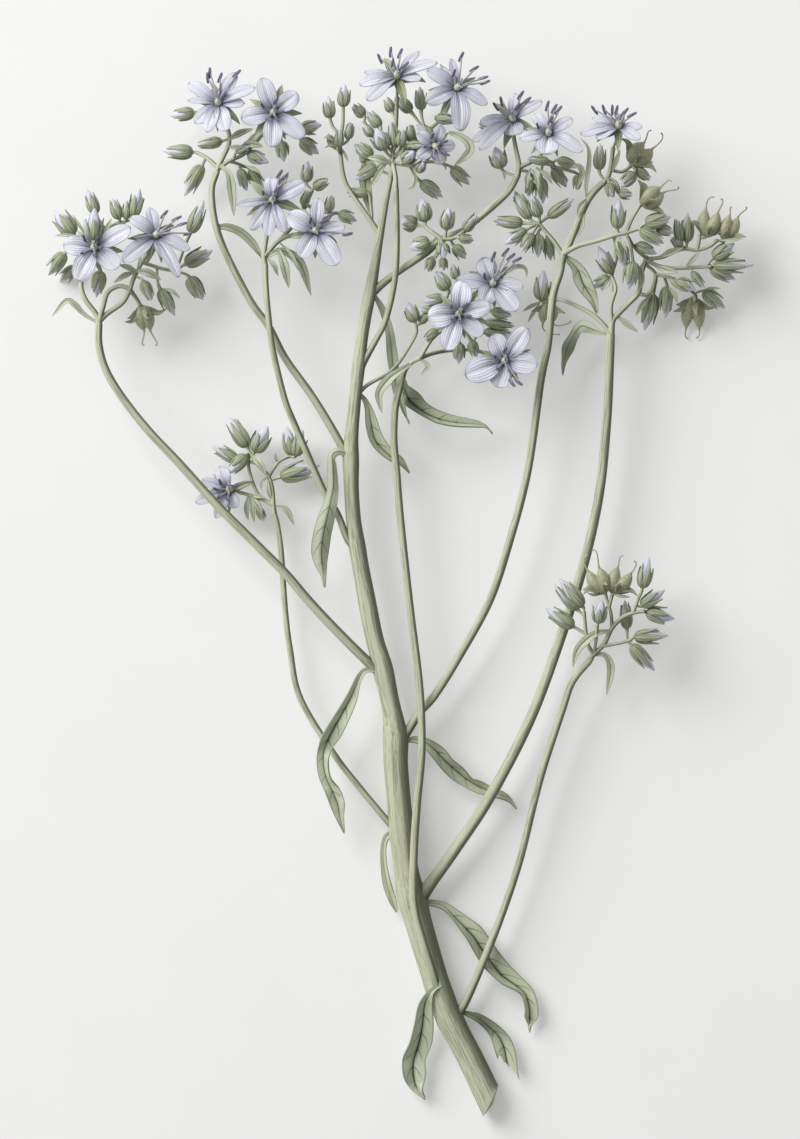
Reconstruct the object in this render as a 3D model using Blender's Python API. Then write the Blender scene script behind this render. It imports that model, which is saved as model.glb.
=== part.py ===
"""Cut flowering stem of hydrolea floribunda, lying flat with its front upward.

Every position is read off the sheet: across and down in pixels of the 800 x 1139 picture,
then the height above the surface in millimetres. Widths and radii are sheet pixels too.
"""

import math

import bmesh
import bpy
import numpy as np

# Real size: the plant runs from the top to the bottom row of the sheet below
PLANT_LENGTH = 0.300
SHEET_TOP = 50.0
SHEET_BOTTOM = 1118.0
SHEET_MIDDLE = (399.23, 576.6)
PIXEL = PLANT_LENGTH / (SHEET_BOTTOM - SHEET_TOP)
MM = 0.001

# Clearance between neighbouring pieces, and thickness of the blades
GAP = 0.3 * MM
LEAF_THICKNESS = 0.75 * MM
PETAL_THICKNESS = 0.65 * MM

# Fineness of the plain solids
STEM_SIDES = 10
BRANCH_SIDES = 6
STALK_SIDES = 4
THREAD_SIDES = 3
BUD_SIDES = 5
STEM_SPACING = 14 * MM
BRANCH_SPACING = 12 * MM
STALK_SPACING = 6.5 * MM
JOINT_SHARES = (0.4, 0.7, 1.0)
SUNK = 0.8 * MM
LEAF_SPACING = 7 * MM

# Faces that meet within this angle count as one flat face
FLAT = math.radians(0.2)

# Stalks of buds and styles of fruits
PEDICEL_RADIUS = 0.42 * MM
PEDICEL_FOOT = 0.7
STYLE_RADIUS = 0.34 * MM
STYLE_BEND = 0.3

# Choice of the place that a pedicel comes from: weight of being behind what it carries,
# and how much farther a place counts that is too near to leave any pedicel
BEHIND_WEIGHT = 0.6
TOO_NEAR_COST = 10 * MM

# Direction that the first corner of a bud or fruit points to, nearly up
BUD_SIDE = (0.2, 0.1, 1.0)

# Petal outline: run outward, offset to the side and rise, all in petal lengths
PETALS = 5
PETAL_OUTLINE = (
    (0.45, -0.27, 0.4), (0.8, -0.36, 0.85), (1.0, 0.0, 1.0), (0.8, 0.36, 0.85), (0.45, 0.27, 0.4))
NOTCH_RUN = 0.2
PETAL_RISE = 0.24
CUP_RADIUS = 1.5 * MM
CUP_DEPTH = 2.4 * MM
SEPAL_REACH = 0.86
STAMEN_RADIUS = 0.35 * MM
STAMEN_LEAN = 2.8 * MM
STAMEN_HEIGHT = 5.6 * MM
OVARY_RADIUS = 1.2 * MM
OVARY_HEIGHT = 3.2 * MM

# Width up to which a bud is a plain cone
SMALL_BUD = 11.5 * PIXEL

# Bud rings, foot to tip: foot, belly, sepal tips, notches, and the tip of the petal cone
BUD_WIDTHS = (0.42, 1.0, 0.86, 0.74)
BUD_HEIGHTS = (0.0, 0.4, 0.84, 0.66, 1.0)

# Fruit: cup rings in fruit widths, and share of a lobe's length with share of its half width
FRUIT_CUP_WIDTHS = (0.12, 0.26, 0.95, 0.3)
FRUIT_CUP_HEIGHTS = (0.0, 0.15, 0.7, 0.2, 0.25)
LOBE_OUTLINE = ((0.25, 0.8), (0.7, 1.0), (1.0, 0.45))

# Leaf outline: share of the length, share of the full width
LEAF_OUTLINE = ((0.0, 0.2), (0.2, 0.6), (0.45, 1.0), (0.7, 0.8), (0.9, 0.38), (1.0, 0.12))
BROKEN_OUTLINE = ((0.0, 0.2), (0.35, 0.75), (0.7, 1.0), (1.0, 0.7))
LEAF_FOLD = 0.14

COLOURS = {
    "stem_green": (0.25, 0.31, 0.17),
    "leaf_green": (0.19, 0.29, 0.14),
    "bud_green": (0.30, 0.36, 0.22),
    "petal_pale": (0.60, 0.63, 0.80),
}

# Main stem: across, down, height, radius
MAIN_STEM = (
    (491, 1102, 3.6, 13.5), (470, 1058, 3.9, 13), (447, 1013, 4.2, 12.5), (431, 965, 4.6, 13),
    (414, 905, 5, 13.5), (405, 860, 5.6, 12), (396.6, 772, 7, 12), (395.5, 735, 8, 11.5),
    (391, 706, 8.8, 9.5), (382, 665, 9.6, 9.5), (375, 640, 10, 9), (368, 606, 10.5, 9),
    (354, 523, 11.5, 7.5), (351, 455, 13, 7.5), (354, 411, 13.6, 6.2), (362, 339, 14.2, 6),
    (371, 288, 15, 5.6), (380, 236, 16, 3.8), (386, 202, 17, 3), (392, 172, 18, 2.4),
)

# Branches: radius at the foot and at the end, what each one grows from, and its run
BRANCHES = {
    "branch_long_left": (5.0, 3.7, ("main_stem",), (
        (381, 672, 9.5), (366, 660, 10.5), (333, 627, 12), (308, 600, 13), (285, 573, 14),
        (256, 544, 15), (218, 506, 15.5), (180, 464, 15.5), (148, 430, 15.5), (122, 397, 15),
        (106, 370, 15), (99, 345, 15), (99, 320, 15))),
    "branch_upper_left": (4.2, 3.2, ("main_stem",), (
        (350, 462, 12.8), (345, 452, 12.8), (330, 425, 13), (310, 393, 13.5), (285, 358, 14),
        (269, 327, 14.2), (253, 305, 14.6), (237, 276, 15), (223.5, 248, 15.5), (216, 226, 16),
        (212.6, 207, 16), (212, 187, 15.5), (218, 169, 15))),
    "branch_inner_left": (3.6, 3.0, ("main_stem",), (
        (355, 548, 11), (347, 538, 11.5), (338, 515, 12), (325, 493, 12.8), (317, 476, 13.5),
        (308, 455, 14.4), (295, 425, 16), (285, 400, 17), (275, 360, 18), (271, 338, 18.4),
        (268, 311, 18.4), (266, 288, 18), (265, 261, 17))),
    "branch_thin_top": (3.2, 2.8, ("main_stem",), (
        (367, 360, 14), (377, 338, 15.2), (385, 322, 16.4), (392, 296, 18), (396, 270, 19.4),
        (397, 236, 19.6), (396.5, 210, 20), (396, 188, 20.2))),
    "branch_upper_right": (4.2, 3.2, ("main_stem",), (
        (375, 293, 15), (395, 274, 16), (426, 253, 16), (441, 240, 16), (463, 230.5, 16),
        (478, 219, 16.5), (499, 201, 17), (511, 188, 17.5), (519, 172, 18))),
    "branch_centre": (4.2, 3.6, ("main_stem",), (
        (443, 1000, 5), (437, 986, 7), (431, 966, 9), (424, 945, 10.4), (414, 905, 11),
        (414, 855, 11.4), (417, 806, 11.8), (421, 765, 12.2), (422, 740, 12.2), (421, 706, 12),
        (418, 670, 12), (410, 606, 12), (401, 523, 12.4), (397, 475, 12.8), (394, 440, 13),
        (395, 411, 13.4), (398, 394, 13.8), (403, 377, 14))),
    "branch_right": (4.4, 3.4, ("main_stem",), (
        (400, 742, 8), (408, 731, 8), (420, 712, 8), (435, 695, 8.6), (460, 655, 9.6),
        (490, 600, 11), (510, 540, 12.2), (528, 470, 13), (541, 380, 14.4), (548, 345, 15),
        (553, 297, 15.8), (560, 273, 16), (563.5, 255, 16), (570, 242, 16.5), (584, 208, 17.4),
        (593, 193, 18), (604, 182, 18))),
    "branch_far_right": (6.2, 4.2, ("main_stem",), (
        (420, 899, 5.4), (432, 882, 6), (455, 850, 7), (490, 797, 8), (530, 720, 8.5),
        (560, 640, 9), (585, 560, 9.5), (600, 490, 10.5), (607, 420, 11.6), (610, 360, 12.6),
        (611, 330, 13))),
    "branch_low_right": (4.2, 3.4, ("main_stem",), (
        (455, 1018, 4.2), (465, 1004, 4.8), (480, 970, 6.4), (500, 920, 7.6), (520, 860, 8.8),
        (540, 780, 10.4), (562.5, 710, 12), (573, 681, 13), (592, 658, 14))),
    "branch_low_left": (3.4, 2.8, ("main_stem",), (
        (397, 832, 6), (388, 822, 6.2), (358, 786, 6.6), (333, 753, 7), (300, 698, 7),
        (290, 650, 7), (285, 610, 7), (281, 553, 7), (277, 525, 7), (273, 510, 7))),
}

# Leaves: width, outline, what each one grows from, and its run
LEAVES = {
    "leaf_low_left": (22, LEAF_OUTLINE, ("main_stem", "branch_centre"), (
        (441, 985, 7.5), (431, 991, 8.4), (423, 1004, 7), (417, 1030, 4.6), (414, 1055, 3.6),
        (416, 1078, 3), (425, 1100, 3))),
    "leaf_low_right": (20, BROKEN_OUTLINE, ("main_stem", "branch_low_right"), (
        (460, 1012, 4), (476, 1016, 3.6), (492, 1026, 3), (503, 1042, 2.8), (508, 1062, 2.6))),
    "leaf_hooked": (15, LEAF_OUTLINE, ("main_stem", "branch_far_right"), (
        (418, 900, 4.6), (432, 903, 4.2), (446, 910, 3.6), (476, 930, 3), (500, 958, 2.6),
        (514, 982, 2.6), (528, 1003, 2.6), (531, 1032, 2.6))),
    "leaf_thin_left": (8, LEAF_OUTLINE, ("main_stem", "branch_low_left"), (
        (395, 832, 5), (385, 838, 4.4), (382, 850, 4), (385, 880, 3.4), (396, 914, 3))),
    "leaf_right": (13, LEAF_OUTLINE, ("main_stem", "branch_right"), (
        (404, 741, 7.6), (417, 742, 7.2), (432, 752, 6.4), (450, 765, 5.5), (474, 784, 4.2),
        (499, 794, 3.6), (517, 809, 3.2))),
    "leaf_left": (14, LEAF_OUTLINE, ("main_stem", "branch_long_left"), (
        (380, 672, 10.4), (366, 676, 11.6), (352, 692, 12.4), (332, 720, 12.4), (320, 754, 12),
        (324, 793, 11), (344, 833, 10))),
    "leaf_upper_left": (12, LEAF_OUTLINE, ("main_stem", "branch_upper_left"), (
        (351, 456, 14), (339, 451, 15.6), (330, 459, 16.4), (325, 490, 16.6), (319, 530, 16),
        (318, 560, 15.4), (325, 587, 14.6))),
    "leaf_behind": (12, LEAF_OUTLINE, ("main_stem", "twig_centre"), (
        (358, 392, 13), (368, 404, 11.6), (377, 434, 10.4), (391, 456, 9.4), (409, 472, 8.6))),
    "leaf_dark": (16, LEAF_OUTLINE, ("branch_centre", "head_centre"), (
        (403, 378, 14), (411, 391, 14), (420, 404, 13.4), (438, 416, 12.4), (467, 424, 10.6),
        (493, 433, 9))),
    "leaf_long_thin": (10, LEAF_OUTLINE, ("main_stem", "branch_upper_right"), (
        (375, 296, 14), (383, 312, 12.6), (389, 330, 11.2), (392, 366, 9), (401, 405, 8.6),
        (409, 423, 8.4))),
    "leaf_far_right": (13, LEAF_OUTLINE, ("branch_right", "spray_right", "spray_inner_right"), (
        (564, 256, 15.6), (570, 268, 15.4), (577, 285, 15.2), (590, 300, 14.6), (596, 313, 14))),
    "leaf_bent": (11, LEAF_OUTLINE, ("branch_far_right", "twig_link"), (
        (610, 333, 12.6), (598, 327, 12.2), (586, 326, 11.8), (574, 333, 11.2), (567, 350, 10.6),
        (563, 372, 10))),
    "leaf_small_left": (8, LEAF_OUTLINE, ("branch_upper_left",), (
        (216, 227, 16), (228, 227, 15), (242, 233, 13), (255, 245, 11), (262, 257, 10))),
}

# Heads and sprays. stalks: foot and end radius, run. buds: foot, tip, width.
# fruits: foot, ends of the lobes, ends of the styles, width. bracts: width, run.
# blooms: centre, petal length, facing, turn of the first petal in degrees, rise of the petals.
HEADS = {
    "head_far_left": {
        "grows_from": ("branch_long_left",),
        "stalks": (
            (3.0, 2.2, ((99, 324, 15), (96, 314, 15), (85, 299, 15), (81, 283, 14), (88, 262, 14.5))),
            (2.8, 2.2, ((99, 322, 15), (103, 307, 16), (108, 292, 16.5), (120, 286, 16.5),
                        (130, 289, 16))),
            (2.8, 2.0, ((99, 321, 15), (108, 313, 15), (123, 302, 15), (130, 289, 16), (133, 280, 16),
                        (142, 262, 15), (150, 250, 15.5))),
            (2.0, 1.8, ((142, 262, 15), (160, 268, 13), (176, 271, 12))),
            (2.0, 1.8, ((88, 262, 14.5), (96, 244, 13), (110, 226, 13), (124, 222, 13))),
            (1.8, 1.6, ((130, 290, 16), (136, 298, 14), (140, 305, 13))),
        ),
        "buds": (
            (74, 235, 13, 51, 212, 12, 15), (96, 214, 14, 87, 189, 13, 12),
            (119, 219, 14, 112, 198, 14, 11), (133, 217, 14, 140, 188, 14, 13),
            (190, 233, 14, 204, 200, 14, 14), (185, 264, 13, 213, 250, 13, 16),
            (189, 277, 11, 203, 300, 9, 15), (160, 289, 14, 175, 316, 12, 13),
            (143, 281, 17, 152, 301, 17, 11), (64, 253, 9, 48, 275, 5, 14),
            (75, 267, 6, 58, 281, -0.4, 12), (100, 271, 12, 96, 297, 9, 14),
        ),
        "fruits": (
            (140, 305, 12.5, ((141, 327, 11), (150, 326, 11)), ((144, 344, 10), (156, 343, 10)), 11),
        ),
        "bracts": ((6, ((98, 323, 15), (84, 314, 15), (74, 304, 16), (66, 301, 16), (52, 316, 14))),),
        "blooms": (
            ((95, 248, 20), 33, (-0.1, 0.1, 1.0), 25, 1.0),
            ((158, 238, 21), 29, (0.3, 0.4, 0.85), 5, 1.0),
        ),
    },
    "head_upper_left": {
        "grows_from": ("branch_upper_left",),
        "stalks": (
            (2.8, 2.0, ((216, 173, 15), (219, 165, 15), (224, 155, 15), (229, 143, 14),
                        (228, 130, 14.5), (220, 116, 15.5))),
            (2.2, 1.8, ((218, 168, 15), (207, 158, 14), (196, 152, 13))),
            (2.2, 1.8, ((219, 168, 15), (229, 161, 15), (245, 153, 14), (262, 135, 17),
                        (271, 120, 19.5))),
            (1.8, 1.6, ((262, 135, 17), (280, 134, 16), (298, 133, 16))),
            (1.8, 1.6, ((228, 130, 14.5), (212, 118, 13), (198, 113, 12.5))),
            (1.8, 1.6, ((229, 161, 15), (236, 163, 14), (243, 166, 12.5))),
        ),
        "buds": (
            (194, 112, 12.5, 170, 116, 11, 13), (193, 152, 13, 163, 151, 12, 15),
            (222, 141, 14, 197, 146, 14, 11), (202, 165, 12, 184, 196, 9, 14),
            (237, 152, 16, 250, 146, 18, 8), (248, 154, 15, 269, 163, 16, 13),
            (240, 169, 13, 247, 191, 11, 10), (250, 169, 11, 264, 193, 8, 12),
            (281, 141, 15, 284, 162, 14, 13), (301, 129, 17, 322, 125, 17, 14),
            (301, 140, 15, 319, 154, 13, 14),
        ),
        "fruits": (),
        "bracts": (
            (6, ((226, 143, 14.2), (240, 133, 15.5), (254, 127, 16))),
            (9, ((220, 165, 15.4), (229, 174, 17), (232, 192, 16.5), (234, 216, 15))),
        ),
        "blooms": (
            ((218, 105, 19.5), 29, (-0.05, 0.4, 0.9), 20, 1.0),
            ((273, 113, 25), 33, (0.0, 0.05, 1.0), 37, 1.0),
        ),
    },
    "head_inner_left": {
        "grows_from": ("branch_inner_left",),
        "stalks": (
            (2.8, 2.2, ((265, 266, 17), (264, 255, 17), (266, 240, 16), (270, 218, 15.5))),
            (2.4, 2.0, ((265, 256, 17), (280, 240, 16), (298, 234, 18), (310, 235, 20))),
            (2.0, 1.8, ((280, 240, 16), (296, 222, 14), (306, 205, 14), (312, 190, 14))),
            (1.8, 1.6, ((306, 205, 14), (325, 212, 13), (338, 213, 12))),
        ),
        "buds": (
            (306, 182, 14, 308, 161, 14, 12), (314, 188, 14.5, 328, 180, 16, 11),
            (303, 205, 15, 309, 190, 17, 9), (328, 211, 13.5, 332, 195, 14, 10),
            (339, 213, 12, 357, 221, 11, 12),
        ),
        "fruits": (),
        "bracts": ((10, ((266, 257, 17), (282, 251, 17), (300, 263, 14), (311, 295, 10))),),
        "blooms": (
            ((272, 203, 21), 29, (-0.05, 0.0, 1.0), 60, 1.0),
            ((316, 234, 26), 31, (0.05, 0.1, 1.0), 15, 1.0),
        ),
    },
    "head_top": {
        "grows_from": ("main_stem", "branch_thin_top"),
        "stalks": (
            (2.4, 2.0, ((391, 176, 18), (392, 166, 18.4), (393, 150, 17), (396, 125, 16.5),
                        (397, 98, 18.5))),
            (2.6, 2.2, ((396, 192, 20.2), (395.6, 178, 20.2), (393, 164, 18.6))),
            (2.2, 1.8, ((393, 158, 17.4), (415, 140, 16), (440, 120, 19), (452, 100, 22.5))),
            (2.0, 1.6, ((393, 163, 18), (412, 166, 18), (428, 162, 18), (442, 163, 18))),
            (1.8, 1.6, ((415, 140, 16), (428, 142, 17))),
            (1.8, 1.6, ((393, 152, 17.2), (375, 137, 15), (364, 122, 13))),
        ),
        "buds": (
            (392, 112, 14, 386, 97, 13, 10), (407, 113, 14, 408, 98, 13, 9),
            (384, 148, 19, 378, 130, 21, 15), (400, 146, 20, 403, 130, 21, 11),
            (372, 136, 16, 364, 125, 17, 9), (364, 116, 12.5, 353, 104, 11, 11),
            (371, 157, 16, 354, 146, 14, 11), (377, 166, 16, 357, 180, 13, 11),
            (452, 168, 17, 470, 185, 14, 13), (421, 182, 15, 443, 197, 12, 13),
            (455, 161, 18, 471, 150, 18, 9), (407, 159, 20, 415, 151, 23, 12),
            (418, 171, 20, 424, 163, 23, 10),
        ),
        "fruits": (),
        "bracts": (),
        "blooms": (
            ((397, 80, 23), 35, (0.0, 0.55, 0.8), 18, 1.0),
            ((456, 88, 28.5), 34, (0.3, 0.35, 0.9), 40, 1.0),
            ((436, 143, 22), 20, (0.2, -0.2, 1.0), 0, 1.2),
        ),
    },
    "spray_top_left": {
        "grows_from": ("main_stem",),
        "stalks": (
            (3.2, 2.2, ((380, 234, 16), (366, 214, 15.6), (350, 191, 15), (343.5, 176, 15),
                        (340, 148, 15), (341, 136, 15), (343, 122, 15.5), (343, 108, 16))),
            (1.6, 1.5, ((341, 136, 15), (333, 127, 14), (330, 119, 14))),
        ),
        "buds": (
            (330, 118, 14, 328, 96, 13, 12), (343, 107, 16, 345, 84, 16, 12),
            (348, 139, 16, 351, 122, 17, 9),
        ),
        "fruits": (),
        "bracts": (),
        "blooms": (),
    },
    "head_upper_right": {
        "grows_from": ("branch_upper_right",),
        "stalks": (
            (2.8, 2.0, ((517, 177, 18), (519, 166, 18), (516, 150, 17), (513, 134, 16.5))),
            (2.4, 1.8, ((518, 168, 18), (535, 160, 17.5), (545, 150, 21))),
            (1.8, 1.6, ((535, 160, 17.5), (556, 167, 16), (574, 172, 15))),
            (1.8, 1.6, ((518, 170, 18), (528, 172, 17), (534, 179, 15))),
        ),
        "buds": (
            (492, 128, 15, 479, 124, 14, 10), (512, 157, 20, 495, 160, 21, 15),
            (553, 169, 15, 567, 187, 12, 12), (531, 181, 15, 528, 196, 13, 9),
            (541, 178, 15, 543, 204, 12, 12), (558, 160, 17, 577, 166, 16, 10),
            (578, 175, 14, 577, 190, 12, 9),
        ),
        "fruits": (),
        "bracts": (),
        "blooms": (
            ((511, 120, 20), 28, (-0.15, 0.25, 0.95), 30, 1.0),
            ((549, 136, 28), 31, (0.05, 0.35, 0.93), 10, 1.0),
        ),
    },
    "spray_upper_right": {
        "grows_from": ("branch_upper_right",),
        "stalks": (
            (3.0, 2.6, ((442, 241, 15.4), (441, 239, 19.4))),
            (2.2, 1.8, ((441, 239, 19), (433, 233, 19), (425, 227, 18))),
            (2.2, 1.8, ((441, 239, 19), (452, 239, 19), (462, 233, 19))),
            (2.2, 1.8, ((441, 239, 19), (439, 250, 18.4), (435, 257, 17.6))),
        ),
        "buds": (
            (425, 222, 17, 422, 198, 17, 12), (417, 225, 15.5, 400, 221, 14.5, 12),
            (446, 230, 20, 449, 207, 21, 12), (430, 242, 19, 409, 249, 18, 12),
            (442, 244, 21, 444, 259, 23, 13), (454, 246, 18, 466, 259, 17, 11),
            (459, 238, 20, 474, 241, 20, 9), (464, 231, 20, 477, 215, 21, 11),
            (432, 258, 17, 428, 272, 16, 10), (443, 258, 17, 444, 271, 16, 8),
        ),
        "fruits": (),
        "bracts": (),
        "blooms": (),
    },
    "spray_inner_right": {
        "grows_from": ("branch_right",),
        "stalks": ((2.4, 1.8, ((564, 257, 16), (555, 243, 16), (546, 232, 16), (539, 224, 16))),),
        "buds": (
            (530, 219, 16, 514, 190, 15, 13), (539, 217, 17, 531, 195, 18, 12),
            (548, 217, 16, 570, 202, 15.5, 11), (523, 223, 15, 493, 221, 14, 12),
            (526, 230, 18, 504, 245, 19, 12), (532, 234, 19, 521, 252, 21, 11),
            (539, 236, 17, 542, 262, 18, 12), (546, 240, 14, 549, 255, 12, 9),
        ),
        "fruits": (),
        "bracts": (),
        "blooms": (),
    },
    "head_right_top": {
        "grows_from": ("branch_right",),
        "stalks": (
            (2.8, 2.0, ((602, 185, 18), (608, 177, 18), (611, 165, 18), (613, 148, 18.5))),
            (1.8, 1.6, ((610, 170, 18), (622, 172, 17), (632, 165, 16))),
            (1.8, 1.6, ((608, 178, 18), (617, 182, 18))),
        ),
        "buds": (
            (599, 170, 17, 600, 143, 15, 12), (609, 184, 20, 612, 198, 21, 11),
            (624, 183, 19, 633, 181, 20, 9), (636, 170, 16, 649, 178, 15, 11),
        ),
        "fruits": (
            (632, 164, 16, ((638, 143, 16), (650, 150, 16)), ((651, 130, 17), (658, 136, 16)), 11),
        ),
        "bracts": (),
        "blooms": (((613, 131, 23), 28, (0.0, 0.55, 0.8), 18, 1.0),),
    },
    "spray_right": {
        "grows_from": ("branch_right",),
        "stalks": (
            (2.6, 2.0, ((563, 254, 16.4), (578, 246, 17.6), (597, 241, 18.6), (613, 236, 19.6),
                        (626, 233, 19.6), (640, 228, 19.6))),
            (1.8, 1.5, ((626, 233, 19.6), (632, 219, 19.6), (641, 204, 19))),
            (1.6, 1.4, ((613, 236, 19.6), (617, 255, 16), (612, 275, 13))),
            (1.6, 1.4, ((626, 233, 19.6), (631, 248, 18.6), (633, 263, 17.6))),
        ),
        "buds": (
            (618, 227, 20, 618, 201, 20, 12), (645, 224, 20, 670, 218, 20, 12),
            (645, 231, 20, 664, 244, 20, 12), (598, 247, 17, 605, 270, 15, 9),
            (609, 276, 12.6, 593, 289, 11, 9), (631, 266, 17.4, 625, 284, 16, 8),
        ),
        "fruits": (
            (641, 204, 19, ((652, 187, 20), (660, 196, 19)), ((668, 180, 21), (677, 188, 20)), 9),
        ),
        "bracts": (),
        "blooms": (),
    },
    "head_far_right": {
        "grows_from": ("branch_far_right", "twig_link"),
        "stalks": (
            (3.2, 2.2, ((611, 334, 13), (613, 320, 13), (619, 313, 13), (629, 303, 13), (639, 292, 13),
                        (641, 276, 13), (646, 259, 13))),
            (2.2, 1.8, ((612, 324, 13), (611, 307, 14), (614, 295, 15), (619, 290, 15))),
            (2.2, 1.8, ((646, 259, 13), (662, 257, 13), (682, 249, 13), (697, 250, 13), (710, 246, 13),
                        (717, 240, 13))),
            (2.2, 1.8, ((646, 260, 13), (660, 266, 12), (677, 268, 12), (698, 267, 12),
                        (711, 266, 12))),
            (1.8, 1.6, ((697, 250, 13), (699, 242, 13), (700, 234, 13))),
            (1.8, 1.6, ((644, 263, 13), (656, 274, 11), (654, 291, 8.4))),
            (1.8, 1.6, ((656, 274, 11), (672, 278, 12), (682, 284, 11), (696, 295, 8), (694, 303, 5))),
        ),
        "buds": (
            (680, 241, 14, 676, 219, 15, 10), (684, 239, 12, 688, 213, 11, 9),
            (716, 256, 13, 735, 242, 13, 12), (714, 266, 12, 753, 265, 12, 14),
            (711, 269, 11, 735, 280, 9, 12), (654, 292, 8, 645, 328, 4.4, 16),
            (667, 286, 9, 666, 318, 7, 13), (683, 281, 13, 691, 289, 15, 12),
            (692, 272, 13, 705, 287, 13, 10), (705, 293, 8, 725, 309, 5, 13),
        ),
        "fruits": (
            (700, 234, 13, ((702, 212, 13), (714, 213, 14)), ((711, 196, 14), (720, 202, 15)), 12),
            (718, 240, 13, ((726, 219, 13), (736, 222, 12)), ((731, 207, 13), (746, 207, 12)), 10),
            (694, 303, 4, ((686, 327, 0.7), (700, 327, 0.7)), ((687, 338, 0.7), (698, 338, 0.7)), 13),
        ),
        "bracts": ((5, ((617, 315, 13), (629, 325, 12.4), (638, 332, 12))),),
        "blooms": (),
    },
    "twig_link": {
        "grows_from": ("branch_far_right",),
        "stalks": (
            (2.6, 1.8, ((612, 336, 12.6), (604, 325, 12.6), (592, 314, 12), (573, 304, 10.4),
                        (559, 299, 9), (549, 301, 8.4))),
            (1.8, 1.8, ((559, 299, 9), (548, 300, 8.4), (542, 302, 8.2))),
        ),
        "buds": ((541, 300, 8.4, 544, 270, 9.6, 16),),
        "fruits": ((549, 302, 8, ((543, 323, 8), (553, 322, 8)), ((560, 334, 8), (570, 321, 9)), 12),),
        "bracts": (),
        "blooms": (),
    },
    "twig_centre": {
        "grows_from": ("main_stem",),
        "stalks": (
            (2.0, 1.6, ((358, 394, 13.4), (366, 386, 12.4), (374, 381, 11.8), (385, 375, 11.4),
                        (396, 366, 11.2), (406, 352, 12.4), (416, 334, 15), (416, 326, 15.4))),
        ),
        "buds": ((415, 322, 15.4, 408, 302, 15, 11), (420, 323, 15, 430, 311, 13, 8)),
        "fruits": (),
        "bracts": (),
        "blooms": (),
    },
    "head_centre": {
        "grows_from": ("branch_centre",),
        "stalks": (
            (3.0, 2.2, ((401, 384, 14), (405, 370, 14.4), (412, 362, 15.6), (420, 358, 16.6))),
            (2.2, 1.8, ((420, 358, 16.6), (431, 340, 17), (443, 329, 17), (454, 319, 19.6))),
            (2.2, 1.8, ((420, 358, 16.6), (441, 350, 17), (470, 352, 16), (496, 359, 18))),
            (2.0, 1.8, ((443, 329, 17), (453, 308, 12.4), (470, 296, 10.4), (486, 287, 10.6))),
            (1.8, 1.6, ((445, 326, 17), (441, 312, 16), (447, 296, 15.4))),
        ),
        "buds": (
            (492, 311, 14, 512, 316, 13, 10), (485, 322, 13, 515, 326, 11, 9),
            (448, 290, 16, 436, 271, 15, 12), (456, 279, 16.6, 453, 264, 17, 9),
            (443, 298, 15, 423, 302, 14, 12), (437, 330, 17, 424, 340, 18, 9),
            (459, 343, 14, 459, 364, 12, 12),
        ),
        "fruits": (),
        "bracts": (
            (10, ((411, 364, 15.6), (400, 371, 16.6), (389, 379, 16.6), (379, 394, 16), (382, 413, 15))),
            (5, ((419, 359, 16.6), (428, 366, 17), (421, 375, 16))),
        ),
        "blooms": (
            ((459, 314, 25), 33, (0.0, 0.0, 1.0), 50, 1.0),
            ((504, 362, 23), 33, (0.0, 0.0, 1.0), 20, 1.0),
            ((494, 281, 15.5), 32, (0.1, 0.3, 0.93), 18, 1.0),
        ),
    },
    "head_low_right": {
        "grows_from": ("branch_low_right",),
        "stalks": (
            (2.8, 1.8, ((588, 662, 13.8), (594, 654, 14.2), (604, 644, 15), (612, 628, 16),
                        (622, 618, 16), (633, 613, 16), (644, 611, 16))),
            (2.0, 1.8, ((594, 655, 14.2), (588, 645, 15), (586, 633, 15), (584, 612, 16))),
            (1.8, 1.6, ((612, 627, 16), (611, 614, 16), (608, 604, 16.4), (605, 593, 16.6))),
            (1.6, 1.6, ((609, 607, 16.3), (612, 595, 16.6))),
            (1.8, 1.6, ((603, 646, 15), (620, 643, 15), (631, 640, 15))),
            (1.6, 1.6, ((594, 653, 14.2), (596, 640, 17), (597, 626, 18))),
            (1.6, 1.5, ((586, 634, 15), (576, 628, 15))),
            (1.6, 1.5, ((633, 613, 16), (638, 600, 16.6), (642, 590, 17))),
        ),
        "buds": (
            (642, 588, 17, 649, 559, 17, 12), (641, 606, 16, 664, 591, 16, 12),
            (646, 612, 15, 675, 619, 14, 12), (634, 637, 15, 668, 636, 14, 12),
            (631, 645, 15, 654, 670, 13, 13), (583, 607, 16, 558, 579, 16, 12),
            (574, 627, 15, 546, 608, 14.4, 12), (597, 623, 18, 600, 607, 20, 12),
            (625, 622, 17, 626, 603, 19, 10),
        ),
        "fruits": (
            (605, 593, 16.6, ((588, 573, 17), (599, 566, 18)), ((588, 553, 18), (598, 556, 18)), 11),
            (612, 594, 16.6, ((614, 568, 16.4), (627, 571, 17)), ((623, 556, 17), (633, 562, 18)), 11),
        ),
        "bracts": (
            (9, ((593, 655, 14), (587, 641, 13.6), (579, 646, 13.6), (572, 665, 13))),
            (8, ((594, 655, 14), (605, 655, 14), (611, 668, 13), (607, 695, 11))),
        ),
        "blooms": (),
    },
    "head_low_left": {
        "grows_from": ("branch_low_left",),
        "stalks": (
            (2.6, 1.8, ((274, 514, 7), (273, 504, 7), (272, 489, 7), (268, 476, 7), (256, 462, 7),
                        (250, 453, 7))),
            (2.2, 1.8, ((273, 505, 7), (262, 499, 6.6), (250, 495, 6), (238, 492, 6))),
            (1.8, 1.6, ((268, 477, 7), (278, 462, 7), (289, 456, 7))),
            (1.6, 1.6, ((256, 463, 7), (246, 461, 6.4))),
        ),
        "buds": (
            (247, 448, 7, 229, 418, 6, 13), (254, 451, 8, 268, 428, 8, 12),
            (239, 459, 6, 212, 446, 5, 12), (290, 453, 7, 285, 426, 7, 11),
            (293, 456, 8, 304, 431, 9, 11), (282, 475, 7, 316, 465, 7, 15),
            (247, 500, 5, 248, 520, 4, 10),
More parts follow.
